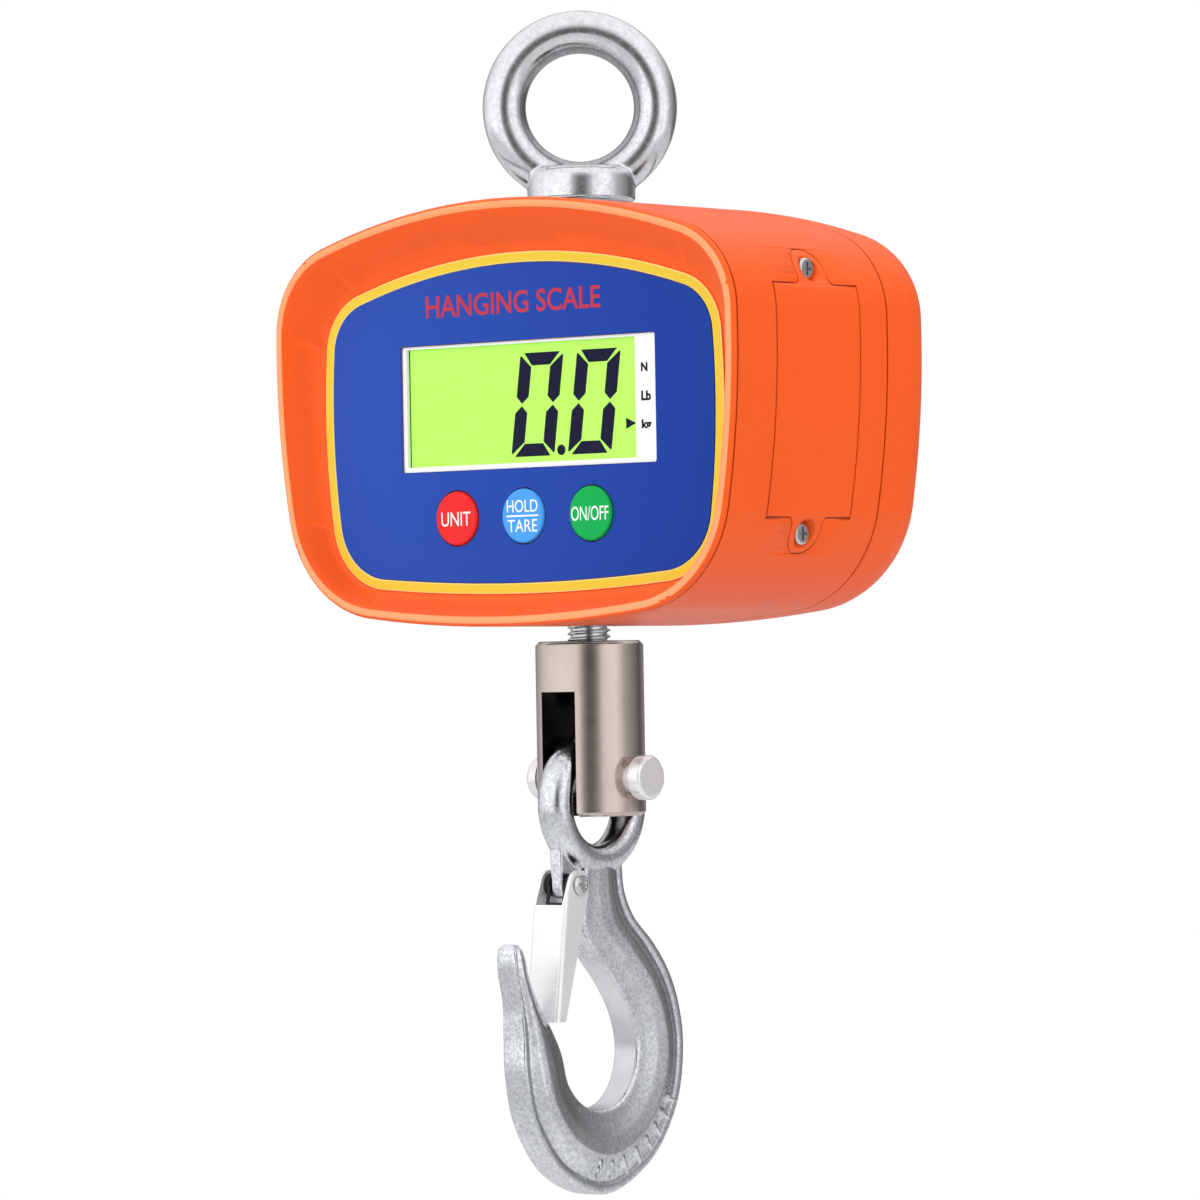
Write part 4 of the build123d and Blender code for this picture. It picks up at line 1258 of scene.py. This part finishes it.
@dataclass
class SafetyLatch:
    """Bent sheet latch with its rivet and torsion spring."""

    half: float = 5.9 * MM
    bend: float = 1.5 * MM
    pivot: tuple[float, float] = (-12.8 * MM, -215.2 * MM)
    rivet_r: float = 1.6 * MM
    head_r: float = 2.8 * MM
    head_t: float = 1.35 * MM
    wire_r: float = 0.50 * MM
    coil_r: float = 2.70 * MM
    turns: int = 2
    lug_half: float = 2.3 * MM

    def sheet(self) -> None:
        """Latch sheet with rounded bends down both sides of its plate."""
        mesh = bmesh.new()
        mesh.from_mesh(frame["nodes"]["latch"].data)
        bmesh.ops.remove_doubles(mesh, verts=mesh.verts, dist=2e-6)
        bmesh.ops.dissolve_limit(mesh, angle_limit=math.radians(1.0), verts=mesh.verts, edges=mesh.edges)
        bends = []
        for edge in mesh.edges:
            outside = all(abs(abs(v.co.x) - self.half) < 1e-5 for v in edge.verts)
            front = any(f.normal.y < -0.9 for f in edge.link_faces)
            if outside and front and edge.calc_length() > 20 * MM:
                bends.append(edge)
        bmesh.ops.bevel(mesh, geom=bends, offset=self.bend, segments=6, profile=0.5, affect="EDGES",
                        material=-1)
        piece = settle(mesh, "latch_sheet", Finish.SHEET, Body.LATCH, "bright_zinc", ["latch"], 35)
        break_edges(piece, 0.12 * MM, 2, 40.0)

    def rivet(self) -> None:
        """Rivet with a ring pressed into both heads."""
        end = self.half + 0.3 * MM
        face = end + self.head_t
        r, h = self.rivet_r, self.head_r
        half = [(0, face - 0.35 * MM), (0.9 * MM, face - 0.35 * MM), (1.15 * MM, face), (1.75 * MM, face),
                (1.95 * MM, face - 0.25 * MM), (2.15 * MM, face - 0.1 * MM), (h - 0.25 * MM, face - 0.2 * MM),
                (h, face - 0.6 * MM), (h, end), (r, end)]
        mesh = lathe([(a, -b) for a, b in half] + [(a, b) for a, b in reversed(half)], 48)
        bmesh.ops.transform(mesh, matrix=Matrix.Rotation(math.radians(90), 4, "Y"), verts=mesh.verts)
        bmesh.ops.translate(mesh, verts=mesh.verts, vec=(0, *self.pivot))
        settle(mesh, "latch_rivet_turned", Finish.SCREW, Body.HOOK, "screw_steel", ["latch_rivet"], 35)

    def wire(self, start: Vector, end: Vector) -> bmesh.types.BMesh:
        """Straight wire from one point to another with closed ends."""
        way = end - start
        turn = way.to_track_quat("Z", "Y").to_matrix().to_4x4()
        mesh = bmesh.new()
        bmesh.ops.create_cone(mesh, cap_ends=True, segments=12, radius1=self.wire_r, radius2=self.wire_r,
                              depth=way.length, matrix=Matrix.Translation((start + end) / 2) @ turn)
        return mesh

    def coil(self, side: int) -> bmesh.types.BMesh:
        """Coils on one side of the lug."""
        mesh = bmesh.new()
        bmesh.ops.create_circle(mesh, cap_ends=False, segments=12, radius=self.wire_r)
        start = side * (self.lug_half + self.wire_r + 0.05 * MM)
        bmesh.ops.translate(mesh, verts=mesh.verts, vec=(start, self.coil_r, 0))
        steps = 28 * self.turns
        rise = side * 2.05 * self.wire_r * self.turns
        bmesh.ops.spin(mesh, geom=mesh.verts[:] + mesh.edges[:], axis=(1, 0, 0), cent=(0, 0, 0), steps=steps,
                       angle=math.tau * self.turns, dvec=(rise / steps, 0, 0))
        bmesh.ops.holes_fill(mesh, edges=[e for e in mesh.edges if e.is_boundary], sides=0)
        bmesh.ops.translate(mesh, verts=mesh.verts, vec=(0, *self.pivot))
        return mesh

    def spring(self) -> None:
        """Two coils joined by a bridge that pushes on the plate."""
        y, z = self.pivot
        near = self.lug_half + self.wire_r + 0.05 * MM
        low = Vector((0, y - 3.6 * MM, z - 5.2 * MM))
        parts = []
        for side in (-1, 1):
            parts.append(self.coil(side))
            top = Vector((side * near, y - self.coil_r, z))
            foot = Vector((side * near, low.y, low.z))
            parts.append(self.wire(top, foot))
        parts.append(self.wire(Vector((-near, low.y, low.z)), Vector((near, low.y, low.z))))
        settle(join(parts), "latch_spring_wire", Finish.SPRING, Body.HOOK, "spring_steel", ["latch_spring"], 50)

    def build(self) -> None:
        """Make the sheet, the rivet and the spring."""
        self.sheet()
        self.rivet()
        self.spring()


# ------------------------------------------------------------------------ studio
@dataclass
class Studio:
    """Pale floor, soft light, white surroundings and the camera."""

    azimuth: float = math.radians(39.8)
    pitch: float = math.radians(0.793)
    roll: float = math.radians(1.0)
    distance: float = 1.813
    side: float = 0.0032
    height: float = -0.1618
    lens: float = 196.2
    sensor: float = 36.0
    ceiling: float = 1.05
    floor_size: float = 6.0
    floor_drop: float = 0.9
    walls: tuple[tuple[float, float], ...] = (
        (-180, 0.25), (-150, 0.40), (-112, 0.95), (-62, 1.25), (-26, 1.15), (-15, 0.34), (-5, 0.10), (5, 0.10),
        (15, 0.34), (28, 1.05), (56, 1.20), (82, 0.50), (105, 0.30), (130, 0.10), (152, 0.30), (180, 0.25),
    )

    def axes(self) -> tuple[Vector, Vector, Vector]:
        """Back, right and up directions of the camera's heading."""
        back = Vector((math.sin(self.azimuth), -math.cos(self.azimuth), 0.0))
        right = Vector((math.cos(self.azimuth), math.sin(self.azimuth), 0.0))
        return back, right, Vector((0, 0, 1))

    def camera(self) -> None:
        """Long lens at the height of the housing."""
        back, right, up = self.axes()
        forward = -back * math.cos(self.pitch) + up * math.sin(self.pitch)
        lift = up * math.cos(self.pitch) + back * math.sin(self.pitch)
        cam_up = right * math.sin(self.roll) + lift * math.cos(self.roll)
        cam_right = right * math.cos(self.roll) - lift * math.sin(self.roll)
        turn = Matrix((cam_right, cam_up, -forward)).transposed().to_4x4()
        data = bpy.data.cameras.new("camera")
        data.sensor_width = self.sensor
        data.lens = self.lens
        data.clip_start, data.clip_end = 0.01, 50.0
        camera = bpy.data.objects.new("camera", data)
        place = back * self.distance + right * self.side + up * self.height
        camera.matrix_world = Matrix.Translation(place) @ turn
        bpy.context.scene.collection.objects.link(camera)
        bpy.context.scene.camera = camera

    def floor(self) -> None:
        """Wide pale floor below the hook."""
        mesh = bmesh.new()
        bmesh.ops.create_grid(mesh, x_segments=8, y_segments=8, size=self.floor_size,
                              matrix=Matrix.Translation((0, 0, CAD_BOX[0].z - self.floor_drop)))
        data = bpy.data.meshes.new("floor")
        mesh.to_mesh(data)
        mesh.free()
        floor = bpy.data.objects.new("floor", data)
        bpy.context.scene.collection.objects.link(floor)

        def draw(graph: Graph) -> dict:
            """Sockets of the floor."""
            tone = graph.noise(1.5, 2.0)
            return {"Base Color": graph.blend(tone * 0.2, rgba((0.68, 0.68, 0.68)), rgba((0.64, 0.64, 0.645))),
                    "Roughness": 0.9}
        data.materials.append(surface("pale_floor", draw))

    def lamp(self, name: str, place: tuple[float, float, float], size: float, power: float) -> None:
        """Soft square lamp that faces the housing.

        Args:
            name: lamp name.
            place: right, back and up offsets from the scale, seen from the camera.
            size: side of the lamp.
            power: its power in watts.
        """
        back, right, up = self.axes()
        target = Vector((0, 0, -0.13))
        data = bpy.data.lights.new(name, "AREA")
        data.shape = "SQUARE"
        data.size = size
        data.energy = power
        lamp = bpy.data.objects.new(name, data)
        lamp.visible_glossy = False
        lamp.location = target + right * place[0] + back * place[1] + up * place[2]
        lamp.rotation_mode = "QUATERNION"
        lamp.rotation_quaternion = (target - lamp.location).to_track_quat("-Z", "Y")
        bpy.context.scene.collection.objects.link(lamp)

    def surroundings(self) -> None:
        """Soft room around the scale: light walls, a dark gap behind the camera and a bright ceiling."""
        world = bpy.data.worlds.new("studio")
        bpy.context.scene.world = world
        world.use_nodes = True
        graph = Graph(world.node_tree)
        way = graph.node("ShaderNodeTexCoord", output="Generated")
        back, right, _ = self.axes()
        ahead = graph.dot(way, back)
        aside = graph.dot(way, right)
        turn = graph.node("ShaderNodeMath", {"operation": "ARCTAN2"}, {0: aside, 1: ahead})
        walls = graph.ramp(turn * (0.5 / math.pi) + 0.5,
                           [(0.5 + degrees / 360, (grey, grey, grey)) for degrees, grey in self.walls])
        rise = graph.part(way, "Z")
        ceiling = graph.ramp(rise * 0.5 + 0.5, [(0.0, (0.0,) * 3), (0.62, (0.0,) * 3), (0.86, (1.0,) * 3)])
        room = graph.blend(ceiling, walls, rgba((self.ceiling,) * 3))
        seen = graph.node("ShaderNodeLightPath", output="Is Camera Ray")
        colour = graph.blend(seen, room, rgba((1.0, 1.0, 1.0)))
        light = graph.node("ShaderNodeBackground", {}, {"Color": colour, "Strength": 1.0})
        graph.node("ShaderNodeOutputWorld", {}, {"Surface": light})

    def build(self) -> None:
        """Set up the studio."""
        self.camera()
        self.floor()
        self.surroundings()
        self.lamp("key", (-1.25, 1.2, 0.7), 1.2, 14.0)
        self.lamp("fill", (1.4, 1.0, 0.5), 1.2, 9.0)
        self.lamp("top", (0.3, -0.3, 1.5), 1.1, 3.0)
        view = bpy.context.scene.view_settings
        view.view_transform = "Standard"


def main() -> None:
    """Build the studio and every sub-assembly in order."""
    logging.basicConfig(level=logging.INFO, format="%(name)s: %(message)s")
    Studio().build()
    for part in (LiftingEye(), Housing(), FacePanel(), Keys(), BatteryBay(), Inside(), Fork(), LoadHook(),
                 SafetyLatch()):
        LOG.info("sub-assembly %s", type(part).__name__)
        part.build()


if __name__ == "__main__":
    main()
